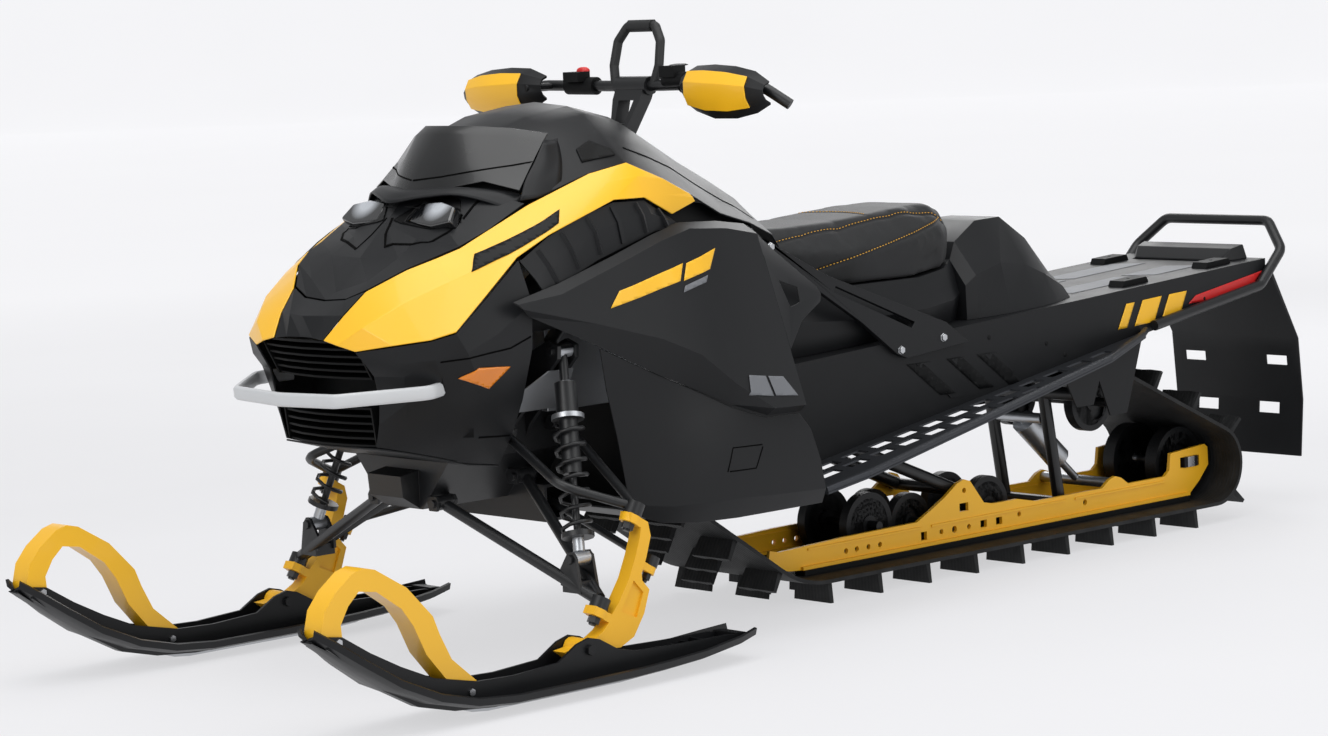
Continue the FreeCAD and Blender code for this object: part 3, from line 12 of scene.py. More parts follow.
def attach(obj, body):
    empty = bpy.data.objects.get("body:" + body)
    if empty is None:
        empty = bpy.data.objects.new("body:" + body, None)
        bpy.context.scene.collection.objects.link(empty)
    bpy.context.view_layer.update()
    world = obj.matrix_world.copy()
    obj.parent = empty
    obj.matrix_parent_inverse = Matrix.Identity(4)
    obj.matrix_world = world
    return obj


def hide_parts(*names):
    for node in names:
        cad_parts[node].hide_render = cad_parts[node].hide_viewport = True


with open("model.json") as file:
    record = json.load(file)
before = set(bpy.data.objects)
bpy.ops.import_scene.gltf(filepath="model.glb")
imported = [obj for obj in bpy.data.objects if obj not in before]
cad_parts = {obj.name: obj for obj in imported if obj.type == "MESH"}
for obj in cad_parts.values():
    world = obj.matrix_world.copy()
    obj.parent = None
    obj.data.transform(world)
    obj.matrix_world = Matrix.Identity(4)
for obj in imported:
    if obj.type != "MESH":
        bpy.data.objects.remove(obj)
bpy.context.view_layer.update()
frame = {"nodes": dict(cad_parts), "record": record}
NODES = frame["nodes"]
BODIES = frame["record"]["behaviour"]["bodies"]
BODY_OF = {node: body for body, nodes in BODIES.items() for node in nodes}
MM = 0.001
SIDES = ((1, "left"), (-1, "right"))
UPWARDS, FORWARDS = (0, 0, 1), (1, 0, 0)


# Camera at the photograph's viewing angle: angles in radians, place in metres, focal length in the
# photo's pixels

CAMERA_YAW, CAMERA_PITCH, CAMERA_ROLL = -2.31705969, 0.10488027, -0.03963698
CAMERA_PLACE = (5.23247776, 5.33569614, 1.26623442)
PHOTO_WIDTH, FOCAL_PIXELS = 1328.0, 3621.75341
SENSOR_WIDTH = 36.0
CLIP_END = 100.0


def set_camera():
    """The camera looks ahead along its yaw and pitch, and rolls about that line."""
    data = bpy.data.cameras.new("camera")
    data.sensor_fit = "HORIZONTAL"
    data.sensor_width = SENSOR_WIDTH
    data.lens = SENSOR_WIDTH * FOCAL_PIXELS / PHOTO_WIDTH
    data.clip_end = CLIP_END
    cam = bpy.data.objects.new("camera", data)
    bpy.context.scene.collection.objects.link(cam)
    level = math.cos(CAMERA_PITCH)
    ahead = Vector((math.cos(CAMERA_YAW) * level, math.sin(CAMERA_YAW) * level, -math.sin(CAMERA_PITCH)))
    right = Vector((math.sin(CAMERA_YAW), -math.cos(CAMERA_YAW), 0))
    up = right.cross(ahead)
    lean, stand = math.sin(CAMERA_ROLL), math.cos(CAMERA_ROLL)
    right, up = right * stand + up * lean, up * stand - right * lean
    turn = Matrix((right, up, -ahead)).transposed().to_4x4()
    cam.matrix_world = Matrix.Translation(CAMERA_PLACE) @ turn
    bpy.context.scene.camera = cam


# Materials: each is a shader with colour, roughness and bump worked out from the object's coordinates.
# A wave's bands lie 314 / Scale mm apart, a noise's patches and a cell pattern's cells 1000 / Scale mm.
# A colour mix has several inputs of the same name, so its sockets are found by number.

MIX_SOCKETS = {"share": 0, "first": 6, "second": 7}
MIX_COLOUR = 2
TONE_PATCH = 280


def linear(code):
    """The linear colour of an sRGB hex code."""
    values = [int(code[i:i + 2], 16) / 255 for i in (0, 2, 4)]
    return [v / 12.92 if v <= 0.04045 else ((v + 0.055) / 1.055) ** 2.4 for v in values] + [1.0]


class Shade:
    """A material under construction."""

    def __init__(self, name):
        self.mat = bpy.data.materials.new(name)
        self.mat.use_nodes = True
        self.tree = self.mat.node_tree
        self.bsdf = self.tree.nodes["Principled BSDF"]
        self.place = self.add("TexCoord").outputs["Object"]

    def add(self, kind, settings=None, **links):
        """A node of that kind, with its settings, and its inputs linked or set by name."""
        node = self.tree.nodes.new("ShaderNode" + kind)
        for key, value in (settings or {}).items():
            setattr(node, key, value)
        self.put(node, links)
        return node

    def put(self, node, links):
        """Links or sets inputs by name, with _ for a space."""
        for key, value in links.items():
            socket = node.inputs[MIX_SOCKETS.get(key, key.replace("_", " "))]
            if isinstance(value, bpy.types.NodeSocket):
                self.tree.links.new(value, socket)
            else:
                socket.default_value = value

    def finish(self, **inputs):
        """The finished material, once the surface's own inputs are linked or set."""
        self.put(self.bsdf, inputs)
        return self.mat


def clouded(s, size, low, high, share_low=0.35, share_high=0.65):
    """A colour that drifts between two over patches of that size in mm."""
    drift = s.add("TexNoise", Vector=s.place, Scale=1000 / size, Detail=4.0).outputs["Fac"]
    share = s.add("MapRange", Value=drift, From_Min=share_low, From_Max=share_high).outputs["Result"]
    return s.add("Mix", {"data_type": "RGBA"}, share=share, first=low, second=high).outputs[MIX_COLOUR]


def grained(name, code, rough, ior, grain=1.5, depth=0.05, vary=0.08, metallic=0.0, coat=0.0, shine=0.5):
    """A moulded, painted or cast surface: slow changes of tone, a gloss that is uneven over patches of 70
    mm, and a grain of that size and depth in mm."""
    s = Shade(name)
    colour = linear(code)
    tones = [[min(1.0, c * (1 + sign * vary)) for c in colour[:3]] + [1.0] for sign in (-1, 1)]
    uneven = s.add("TexNoise", Vector=s.place, Scale=14.0, Detail=4.0).outputs["Fac"]
    gloss = s.add("MapRange", Value=uneven, To_Min=rough - 0.05, To_Max=rough + 0.06).outputs["Result"]
    pits = s.add("TexNoise", Vector=s.place, Scale=1000 / grain, Detail=2.0).outputs["Fac"]
    normal = s.add("Bump", Height=pits, Distance=depth * MM).outputs["Normal"]
    return s.finish(Base_Color=clouded(s, TONE_PATCH, *tones), Roughness=gloss, IOR=ior, Metallic=metallic,
                    Normal=normal, Coat_Weight=coat, Specular_IOR_Level=shine)


# What each finish is: its key, then the real material and how it was made, its colour, roughness and IOR,
# and what differs from a plain moulded surface. The grain is drawn at 1.5 mm and more, coarser than a
# real mould's texture, so that it shows from the camera.
FINISHES = {
    # Body panels: near black, with a soft gloss that changes a little from place to place
    "moulded": ("moulded_polypropylene", "141517", 0.44, 1.49, {"shine": 0.28}),
    # Parts in the body's shade: darker and duller, painted shade so that they fall back
    "moulded_painted_shade": ("moulded_polypropylene_painted_shade", "0B0C0D", 0.60, 1.49, {"shine": 0.2}),
    # Hood panels, ski loops and guard inserts: smooth, even and slightly glossy
    "yellow": ("painted_yellow_abs", "F3B91C", 0.36, 1.54,
               {"grain": 6.0, "depth": 0.01, "vary": 0.02, "coat": 0.2}),
    # Rails and spindles: the same yellow with the fine orange peel of baked powder
    "powder_yellow": ("powder_coated_yellow_aluminium", "F0B41E", 0.42, 1.50, {"grain": 2.4, "vary": 0.04}),
    # Tubes and frames: black with the same orange peel and clear highlights
    "powder_black": ("powder_coated_black_steel", "141517", 0.38, 1.50, {"grain": 2.4}),
    # Front bumper: pale, even and satin
    "bumper": ("moulded_pale_grey_nylon", "C6C8CA", 0.38, 1.53, {"depth": 0.02, "vary": 0.03}),
    # Windshield: smooth and near black, with broad soft reflections
    "shield": ("smoked_polycarbonate", "0F1011", 0.28, 1.585,
               {"grain": 6.0, "depth": 0.01, "coat": 0.12, "shine": 0.4}),
    # Dampers and plates: bright grey metal with a slight cast texture
    "aluminium": ("die_cast_aluminium", "B9BCC0", 0.36, 1.45, {"metallic": 0.9, "grain": 3.0}),
    # Bolts and runners: brighter and smoother metal
    "steel": ("zinc_plated_steel", "C3C5C8", 0.28, 1.45, {"metallic": 1.0, "grain": 3.0, "depth": 0.02}),
    # Reflectors: glossy and uneven inside, like prisms behind the face
    "amber": ("moulded_amber_acrylic", "E2800C", 0.20, 1.49,
              {"grain": 6.0, "depth": 0.2, "vary": 0.12, "coat": 0.5}),
    # Grab strap: dull rubber with a coarse grain
    "grip": ("moulded_strap_rubber", "121314", 0.60, 1.52, {"grain": 4.0, "depth": 0.2}),
    # Skis: waxy black with a soft gloss
    "ski": ("moulded_polyethylene", "111214", 0.42, 1.51, {"grain": 3.3, "shine": 0.3}),
    # Running boards: dark grey metal that catches the light at its edges
    "board": ("anodised_black_aluminium", "3A3C40", 0.42, 1.45, {"metallic": 0.7, "depth": 0.08}),
    # Tunnel: flat black paint on sheet, duller than the panels
    "tunnel_black": ("painted_black_aluminium", "131416", 0.48, 1.50,
                     {"depth": 0.02, "vary": 0.06, "shine": 0.25}),
    # Printed film: even colour with almost no relief
    "print_grey": ("grey_vinyl_print", "6E7074", 0.55, 1.50, {"depth": 0.01, "vary": 0.03, "shine": 0.2}),
    "print_black": ("black_vinyl_print", "0C0D0E", 0.45, 1.50, {"depth": 0.01, "vary": 0.03, "shine": 0.2}),
    "print_yellow": ("yellow_vinyl_print", "EDB41E", 0.40, 1.50, {"depth": 0.01, "vary": 0.03}),
    "print_red": ("red_vinyl_print", "C3201F", 0.40, 1.50, {"depth": 0.01, "vary": 0.03}),
    # The gap between two panels: black without a highlight
    "groove": ("shaded_panel_gap", "020202", 0.70, 1.49, {"depth": 0.01, "vary": 0.02, "shine": 0.05}),
    # The pocket behind the headlights: a flat shell, deep black with a faint gloss, as painted shade
    "recess": ("lamp_pocket_painted_shade", "040405", 0.36, 1.54,
               {"depth": 0.01, "vary": 0.02, "shine": 0.12}),
    # Seat thread: yellow and dull
    "thread": ("bonded_nylon_thread", "D9A022", 0.60, 1.53, {"depth": 0.02}),
}
# The lens's painted reflection: its middle in mm, and in m where it starts to fade and where it is painted
# shade
LAMP_MIDDLE = (945, 108, 874)
LAMP_PAINTED_SHINE, LAMP_PAINTED_SHADE = 0.018, 0.042


def make_materials():
    """Every material by its key."""
    m = {key: grained(*finish[:4], **finish[4]) for key, finish in FINISHES.items()}
    m["rubber"] = track_rubber()
    m["cover"] = seat_cover()
    m["lens"] = lamp_lens()
    return m


def track_rubber():
    """Vulcanised track rubber: matt black with moulded ribs 9 mm apart across the band, crumbs of 2.4 mm
    and a dusty bloom."""
    s = Shade("vulcanised_track_rubber")
    base = clouded(s, 45, linear("0F1011"), linear("232425"), 0.3, 0.75)
    ribs = s.add("TexWave", {"bands_direction": "Y"}, Vector=s.place, Scale=34.0, Distortion=0.4)
    normal = s.add("Bump", Height=ribs.outputs["Fac"], Distance=0.6 * MM, Strength=0.6).outputs["Normal"]
    crumbs = s.add("TexNoise", Vector=s.place, Scale=420.0, Detail=3.0).outputs["Fac"]
    normal = s.add("Bump", Height=crumbs, Distance=0.3 * MM, Normal=normal).outputs["Normal"]
    return s.finish(Base_Color=base, Roughness=0.68, IOR=1.52, Specular_IOR_Level=0.3, Normal=normal)


def seat_cover():
    """Calendered seat vinyl: a pebbled grain of 1.6 mm cells under a soft sheen."""
    s = Shade("calendered_seat_vinyl")
    cells = s.add("TexVoronoi", Vector=s.place, Scale=620.0).outputs["Distance"]
    normal = s.add("Bump", Height=cells, Distance=0.22 * MM, Strength=0.7).outputs["Normal"]
    base = clouded(s, 110, linear("131415"), linear("1B1C1E"))
    return s.finish(Base_Color=base, Roughness=0.58, IOR=1.53, Specular_IOR_Level=0.3, Normal=normal,
                    Sheen_Weight=0.05, Sheen_Roughness=0.5)


def lamp_lens():
    """Moulded polycarbonate headlamp cover: its middle is pale, a painted reflection of the reflector,
    which fades to painted shade, black, at its rim, behind fine flutes 8 mm apart. The right lamp is
    folded onto the left one, so that both share one middle."""
    s = Shade("moulded_headlamp_polycarbonate")
    parts = s.add("SeparateXYZ", Vector=s.place).outputs
    away = s.add("Math", {"operation": "ABSOLUTE"}, Value=parts["Y"]).outputs["Value"]
    folded = s.add("CombineXYZ", X=parts["X"], Y=away, Z=parts["Z"]).outputs["Vector"]
    reach = s.add("VectorMath", {"operation": "DISTANCE"}, Vector=folded)
    reach.inputs[1].default_value = Vector(LAMP_MIDDLE) * MM
    share = s.add("MapRange", Value=reach.outputs["Value"], From_Min=LAMP_PAINTED_SHINE, From_Max=LAMP_PAINTED_SHADE)
    base = s.add("Mix", {"data_type": "RGBA"}, share=share.outputs["Result"],
                 first=linear("B4B8BE"), second=linear("101113")).outputs[MIX_COLOUR]
    flutes = s.add("TexWave", {"bands_direction": "Y"}, Vector=s.place, Scale=40.0, Distortion=0.4)
    normal = s.add("Bump", Height=flutes.outputs["Fac"], Distance=0.4 * MM, Strength=0.3).outputs["Normal"]
    return s.finish(Base_Color=base, Roughness=0.14, IOR=1.585, Coat_Weight=1.0, Coat_Roughness=0.03,
                    Normal=normal)


# Copies of the facetted solids, with their facets run together and their edges eased

WELD_REACH = 0.00003
FLAT_ANGLE, JOIN_ANGLE, JOIN_SHAPE = math.radians(0.6), math.radians(16), math.radians(70)
NORMAL_WEIGHT = 60


def new_piece(name, mesh, body, *finishes):
    """A piece of that mesh and those finishes, which rides on the body."""
    mesh.materials.clear()
    for finish in finishes:
        mesh.materials.append(finish)
    piece = bpy.data.objects.new(name, mesh)
    bpy.context.scene.collection.objects.link(piece)
    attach(piece, body)
    return piece


def applied(mesh, *modifiers):
    """The mesh after those modifiers, each given as its kind and its settings."""
    holder = bpy.data.objects.new("holder", mesh)
    bpy.context.scene.collection.objects.link(holder)
    for kind, settings in modifiers:
        modifier = holder.modifiers.new(kind.lower(), kind)
        for key, value in settings.items():
            setattr(modifier, key, value)
    bpy.context.view_layer.update()
    result = bpy.data.meshes.new_from_object(holder.evaluated_get(bpy.context.evaluated_depsgraph_get()))
    bpy.data.objects.remove(holder)
    return result


def node_mesh(node):
    """A copy of a CAD node's mesh, in its place."""
    mesh = bpy.data.meshes.new_from_object(NODES[node])
    mesh.transform(NODES[node].matrix_world)
    return mesh


def welded(node, sharp, join):
    """A CAD node's mesh with its corners welded, its flat faces joined, and its edges over that angle
    marked sharp."""
    mesh = node_mesh(node)
    work = bmesh.new()
    work.from_mesh(mesh)
    bmesh.ops.remove_doubles(work, verts=work.verts, dist=WELD_REACH)
    bmesh.ops.dissolve_degenerate(work, edges=work.edges, dist=WELD_REACH)
    bmesh.ops.dissolve_limit(work, angle_limit=FLAT_ANGLE, verts=work.verts, edges=work.edges)
    if join:
        bmesh.ops.join_triangles(work, faces=work.faces, angle_face_threshold=JOIN_ANGLE,
                                 angle_shape_threshold=JOIN_SHAPE)
    crease = work.edges.layers.float.get("crease_edge") or work.edges.layers.float.new("crease_edge")
    for edge in work.edges:
        hard = len(edge.link_faces) != 2 or edge.calc_face_angle(0.0) > sharp
        edge.smooth = not hard
        edge[crease] = 1.0 if hard else 0.0
    for face in work.faces:
        face.smooth = True
    work.to_mesh(mesh)
    work.free()
    return mesh


def smooth_copy(node, finish, sharp, ease, level=0, accents=()):
    """Stands for a CAD node: facets under the sharp angle shade as one skin, edges over it get a round of
    that size in mm, and with a level the skin is subdivided. Faces whose middle passes an accent's test
    take its finish."""
    sharp = math.radians(sharp)
    mesh = welded(node, sharp, level > 0)
    steps = []
    if level:
        steps.append(("SUBSURF", {"levels": level, "render_levels": level, "boundary_smooth": "ALL"}))
    if ease:
        steps.append(("BEVEL", {"width": ease * MM, "segments": 2, "limit_method": "ANGLE",
                                "angle_limit": sharp, "harden_normals": False}))
        steps.append(("WEIGHTED_NORMAL", {"keep_sharp": False, "weight": NORMAL_WEIGHT}))
    mesh = applied(mesh, *steps)
    piece = new_piece(node + "_finished", mesh, BODY_OF[node], finish, *[accent for _, accent in accents])
    for face in mesh.polygons:
        face.use_smooth = True
        face.material_index = 0
        for index, (test, _) in enumerate(accents):
            if test(face.center / MM):
                face.material_index = index + 1
    if not ease:
        mesh.set_sharp_from_angle(angle=sharp)
    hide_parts(node)


def near(points, reach, also=None):
    """A test for faces within reach of one of the points (x, z), in mm, that pass the other test too."""
    def test(c):
        return any(math.hypot(c.x - x, c.z - z) < reach for x, z in points) and (also is None or also(c))
    return test


def on_line(a, b, shares, reach):
    """A test for faces within reach of the line from a to b, or of its mirror image, at those shares."""
    a, b = Vector(a), Vector(b)

    def test(c):
        p = Vector((c.x, abs(c.y), c.z))
        share = (p - a).dot(b - a) / (b - a).length_squared
        away = (p - a - (b - a) * share).length
        return any(low <= share <= high for low, high in shares) and away < reach
    return test


# Body skins: node, finish and the angle in degrees over which an edge stays sharp
SKINS = [
    ("hood", "moulded", 15), ("hood_panel_left", "yellow", 17), ("hood_panel_right", "yellow", 17),
    ("nose_cap", "moulded", 15), ("nose_sides", "moulded", 20), ("belly_pan", "moulded", 20),
    ("windshield", "shield", 50), ("console", "moulded", 34), ("side_panel_left", "moulded", 17),
    ("side_panel_right", "moulded", 17), ("lower_sides", "moulded", 20), ("side_trims", "moulded", 20),
    ("handguards", "moulded", 30), ("guard_inserts", "yellow", 30),
]
SKIN_EASE = 1.4

# Everything else: node, finish, sharp angle and the round of its edges in mm
# The darker moulded finish in this table is painted shade on parts in the body's shade
SOLIDS = [
    ("track", "rubber", 30, 0.7), ("slide_rails", "powder_yellow", 28, 0.6),
    ("slide_shoes", "moulded_painted_shade", 30, 0.6), ("drive_axle", "moulded_painted_shade", 40, 0.6),
    ("front_arm", "powder_black", 50, 0.6), ("rear_arm", "powder_black", 50, 0.6),
    ("tunnel", "tunnel_black", 20, 1.0), ("running_boards", "board", 50, 0.6),
    ("front_frame", "powder_black", 40, 1.0), ("upper_frame", "powder_black", 50, 0.6),
    ("engine_block", "aluminium", 30, 2.0), ("vent_panels", "moulded", 34, 0.8),
    ("belly_floor", "moulded", 30, 0.8), ("tower_plates", "aluminium", 30, 0.5),
    ("grilles", "moulded_painted_shade", 30, 0.5), ("front_bumper", "bumper", 50, 0.8),
    ("headlights", "lens", 30, 5.0), ("lower_arms", "powder_black", 50, 0.7),
    ("upper_arms", "powder_black", 50, 0.7), ("tie_rod_left", "powder_black", 50, 0.5),
    ("tie_rod_right", "powder_black", 50, 0.5), ("steering_post", "powder_black", 50, 1.0),
    ("handlebar", "powder_black", 50, 0.0), ("grab_strap", "grip", 50, 0.8),
    ("brake_control", "moulded_painted_shade", 40, 1.0), ("throttle_control", "moulded_painted_shade", 40, 1.0),
    ("seat_base", "moulded", 24, 3.0), ("rear_bumper", "powder_black", 50, 0.0),
    ("snow_flap", "moulded", 30, 0.8), ("anchor_bases", "moulded_painted_shade", 30, 1.5),
    ("tail_cap", "moulded", 24, 2.0), ("rear_shock", "aluminium", 50, 0.6),
    ("ski_runner_left", "steel", 30, 0.4), ("ski_runner_right", "steel", 30, 0.4),
]

# Bolts in bare steel: their middles (x, z), how far they reach, and how far out their faces lie, in mm
WHEEL_BOLT, WHEEL_BOLT_REACH = [(-1225, 138)], 16
STRUT_BOLTS, STRUT_BOLT_REACH, STRUT_FACE = [(-171, 502), (-300, 516), (196, 744)], 9, 213.5
LOOP_BOLTS, LOOP_BOLT_REACH, SKI_MIDDLE, LOOP_FACE = [(1236, 46), (1524, 178)], 8.5, 452, 30.2

# The front dampers' middle line in mm, the shares of it that are bare aluminium, and how far those reach
SHOCK_TOP, SHOCK_LOW = (810, 275, 600), (893, 395, 230)
SHOCK_BRIGHT, SHOCK_REACH = [(0.0, 0.06), (0.16, 0.2), (0.3, 0.335), (0.93, 1.05)], 40


def dress_frame(m):
    """Every node but the seat cushion gets a finished copy."""
    for node, finish, sharp in SKINS:
        smooth_copy(node, m[finish], sharp, SKIN_EASE)
    for node, finish, sharp, ease in SOLIDS:
        smooth_copy(node, m[finish], sharp, ease)
    wheel_bolt = near(WHEEL_BOLT, WHEEL_BOLT_REACH)
    strut_bolt = near(STRUT_BOLTS, STRUT_BOLT_REACH, lambda c: abs(c.y) > STRUT_FACE)
    loop_bolt = near(LOOP_BOLTS, LOOP_BOLT_REACH, lambda c: abs(abs(c.y) - SKI_MIDDLE) > LOOP_FACE)
    smooth_copy("idler_wheels", m["moulded"], 32.0, 0.0, 2, [(wheel_bolt, m["steel"])])
    smooth_copy("side_struts", m["moulded"], 30.0, 1.2, 0, [(strut_bolt, m["steel"])])
    for _, side in SIDES:
        smooth_copy("ski_" + side, m["ski"], 38.0, 0.6, 0, [(loop_bolt, m["steel"])])
        smooth_copy("ski_loop_" + side, m["yellow"], 38.0, 3.2)
        smooth_copy("spindle_" + side, m["powder_yellow"], 38.0, 1.6)
    bright = on_line(SHOCK_TOP, SHOCK_LOW, SHOCK_BRIGHT, SHOCK_REACH)
    smooth_copy("front_shocks", m["powder_black"], 62.0, 0.4, 0, [(bright, m["aluminium"])])


# Small forms that the solids leave out: thin skins that close the joints between panels, dark sheets
# inside as painted shade, caps and rivets.
# A skin is rows of points (x, y, z) in mm on the left side, or from the middle plane to the left.

COWL_WING = [
    [(852, 222, 881), (818, 231, 884), (760, 230, 895)],
    [(824, 208, 918), (800, 218, 914), (744, 220, 922)],
    [(788, 195, 950), (768, 204, 946), (724, 198, 952)],
    [(750, 180, 988), (738, 180, 986), (704, 166, 988)],
]
# Dark sheets in the darker finish, inside the body, the nose and behind the brow: painted shade where the
# inside shows
INNER_SHADE_SHEET = [
    [(930, 262, 700), (930, 262, 640)],
    [(840, 262, 770), (840, 262, 640)],
    [(700, 250, 850), (700, 262, 640)],
    [(560, 240, 850), (560, 250, 640)],
    [(440, 226, 850), (440, 232, 640)],
    [(320, 200, 832), (320, 210, 640)],
    [(210, 172, 796), (210, 190, 640)],
]
NOSE_LINER = [[(1092, 0, z), (1070, 130, z), (1000, 236, z)] for z in (650, 560, 455)]
VISOR_BASE = [
    [(962, 0, 874), (950, 96, 864), (918, 180, 838)],
    [(920, 0, 893), (900, 100, 896), (858, 196, 876)],
    [(874, 0, 926), (852, 108, 932), (806, 196, 906)],
]
HOOD_BROW = [
    [(925, 0, 903), (905, 56, 906), (880, 119, 904), (846, 179, 897), (828, 214, 886)],
    [(958, 0, 900), (938, 58, 904), (908, 119, 906), (874, 174, 896), (846, 214, 878)],
    [(984, 0, 882), (963, 60, 891), (932, 118, 896), (900, 166, 884), (866, 216, 862)],
]
RIVETS = [(-457, 500), (-640, 470), (-700, 440), (-1180, 520)]
RIVET_Y, RIVET_RADIUS, RIVET_HEIGHT = 200, 5, 2
BAR_TILT = (0.1, 0, 1)


def sheet(name, grid, closed=False):
    """A mesh through a grid of points in m: neighbours in both directions are joined, and a closed one
    runs round."""
    rows, width = grid.shape[:2]
    at = np.arange(rows * width).reshape(rows, width)
    if closed:
        at = np.concatenate([at, at[:, :1]], axis=1)
    faces = np.stack([at[:-1, :-1], at[:-1, 1:], at[1:, 1:], at[1:, :-1]], axis=-1).reshape(-1, 4).tolist()
    if closed:
        faces += [at[0, -2::-1].tolist(), at[-1, :-1].tolist()]
    mesh = bpy.data.meshes.new(name)
    mesh.from_pydata(grid.reshape(-1, 3), [], faces)
    mesh.shade_smooth()
    return mesh


def domed(name, middle, axis, size, height, finish, body, power=2.6):
    """A low dome on an axis: rings of superellipses, whose size falls with the cosine of the climb while
    their height grows with its sine."""
    axis = np.array(axis, float) / np.linalg.norm(axis)
    side = np.cross([0.0, 1.0, 0.0] if abs(axis[1]) < 0.9 else [1.0, 0.0, 0.0], axis)
    side /= np.linalg.norm(side)
    climb = np.linspace(0, math.pi / 2, 8)[:, None]
    turn = np.linspace(0, 2 * math.pi, 28, endpoint=False)[None, :]
    outline = (np.abs(np.cos(turn)) ** power + np.abs(np.sin(turn)) ** power) ** (-1 / power)
    wide = outline * np.maximum(np.cos(climb) ** 0.6, 0.02)
    rise = height * np.sin(climb) + 0 * turn
    spread = np.stack([size[0] * np.cos(turn) * wide, size[1] * np.sin(turn) * wide, rise], axis=-1)
    grid = (np.array(middle, float) + spread @ np.stack([side, np.cross(axis, side), axis])) * MM
    new_piece(name, sheet(name, grid, True), body, finish)


def eased(points, fine=4):
    """Points on the curve through the given ones: each span is a cubic that leaves along the line between
    its neighbours."""
    ends = np.concatenate([2 * points[:1] - points[1:2], points, 2 * points[-1:] - points[-2:-1]])
    p0, p1, p2, p3 = (ends[k:k + len(points) - 1, None] for k in range(4))
    t = np.linspace(0, 1, fine, endpoint=False).reshape((1, fine) + (1,) * (points.ndim - 1))
    square, cube = 2 * p0 - 5 * p1 + 4 * p2 - p3, 3 * p1 - p0 - 3 * p2 + p3
    spans = 2 * p1 + (p2 - p0) * t + square * t ** 2 + cube * t ** 3
    return np.concatenate([spans.reshape((-1,) + points.shape[1:]) / 2, points[-1:]])


def curved_skin(name, rows, thick, finish):
    """A skin on the frame through a grid of points in mm: a smooth curve along each row and each column,
    with half its wall on each side."""
    grid = eased(eased(np.array(rows, float) * MM).swapaxes(0, 1)).swapaxes(0, 1)
    mesh = applied(sheet(name, grid), ("SOLIDIFY", {"thickness": thick * MM, "offset": 0.0}))
    new_piece(name, mesh, "frame", finish)


def across(rows):
    """Rows that start on the middle plane, carried on to the right side."""
    return [[(x, -y, z) for x, y, z in row[:0:-1]] + row for row in rows]


def on_side(rows, sign):
    """Rows of the left side, put on the side of that sign."""
    return [[(x, sign * y, z) for x, y, z in row] for row in rows]


def add_small_forms(m):
    """The skins between panels, with dark sheets inside as painted shade, the switch and the cap on the
    handlebar, and the rivets on the tunnel.
    """
    curved_skin("nose_liner", across(NOSE_LINER), 2.0, m["moulded_painted_shade"])
    curved_skin("visor_base", across(VISOR_BASE), 2.0, m["moulded_painted_shade"])
    curved_skin("hood_brow", across(HOOD_BROW), 4.0, m["moulded"])
    for sign, side in SIDES:
        curved_skin("cowl_wing_" + side, on_side(COWL_WING, sign), 3.0, m["moulded"])
        curved_skin("inner_shade_sheet_" + side, on_side(INNER_SHADE_SHEET, sign), 2.0, m["moulded_painted_shade"])
    domed("stop_switch", (350, -150, 1101), BAR_TILT, (11, 15), 10, m["print_red"], "steering")
    domed("control_cap", (366, 147, 1111), BAR_TILT, (15, 20), 4, m["moulded"], "steering", 4.0)
    for number, (x, z) in enumerate(RIVETS):
        for sign, side in SIDES:
            domed("tunnel_rivet_%d_%s" % (number, side), (x, sign * RIVET_Y, z), (0, sign, 0),
                  (RIVET_RADIUS, RIVET_RADIUS), RIVET_HEIGHT, m["moulded_painted_shade"], "frame", 2.0)


# Printed blocks, panel lines and reflectors: thin shells laid on the finished panels.
# Outlines hold (x, z) on the flanks, (x, y) from above and (y, z) from the front, in mm, on the left side.

# Bars and blocks on the flanks: name, outline, node, finish
BARS = [
    ("hood_bar", [(1012, 762), (984, 792), (800, 862), (820, 838)], "hood_panel_left", "print_black"),
    ("side_bar", [(756, 676), (728, 706), (556, 744), (575, 712)], "side_panel_left", "print_yellow"),
    ("side_bar_tip", [(566, 711), (547, 743), (452, 764), (486, 727)], "side_panel_left", "print_yellow"),
    ("side_note", [(575, 690), (566, 702), (497, 717), (508, 704)], "side_panel_left", "print_grey"),
    ("flank_block", [(468, 488), (458, 524), (408, 517), (400, 478)], "side_panel_left", "print_grey"),
    ("flank_block_rear", [(392, 478), (400, 516), (352, 510), (320, 470)], "side_panel_left", "print_grey"),
    ("tail_bar", [(-878, 478), (-908, 532), (-936, 533), (-908, 479)], "tunnel", "print_yellow"),
    ("tail_bar_2", [(-934, 480), (-964, 535), (-1030, 539), (-1002, 484)], "tunnel", "print_yellow"),
    ("tail_bar_3", [(-1028, 486), (-1056, 540), (-1118, 543), (-1092, 490)], "tunnel", "print_yellow"),
    ("tail_wedge", [(-1123, 513), (-1150, 530), (-1392, 566), (-1362, 540), (-1252, 515)],
     "tunnel", "print_red"),
    ("nose_reflector", [(1062, 573), (1030, 590), (958, 586), (998, 548)], "nose_sides", "amber"),
]
# How far a shell stands proud of its panel, and how thick it is
PRINT_LAY, REFLECTOR_LAY = (1.4, 0.4), (2.2, 2.4)
LAMP_RECESS = [(988, 14), (938, 56), (918, 106), (915, 126), (944, 160), (962, 158), (979, 112), (988, 34)]
EYE_LINE = [(896, 158), (974, 158), (1001, 130), (1035, 44), (1014, 22), (985, 8)]
VISOR_LINE = [(2, 921), (60, 927), (118, 936), (168, 944), (196, 950)]
KNEE_PANEL = [(690, 942), (684, 966), (640, 980), (604, 962), (606, 950)]
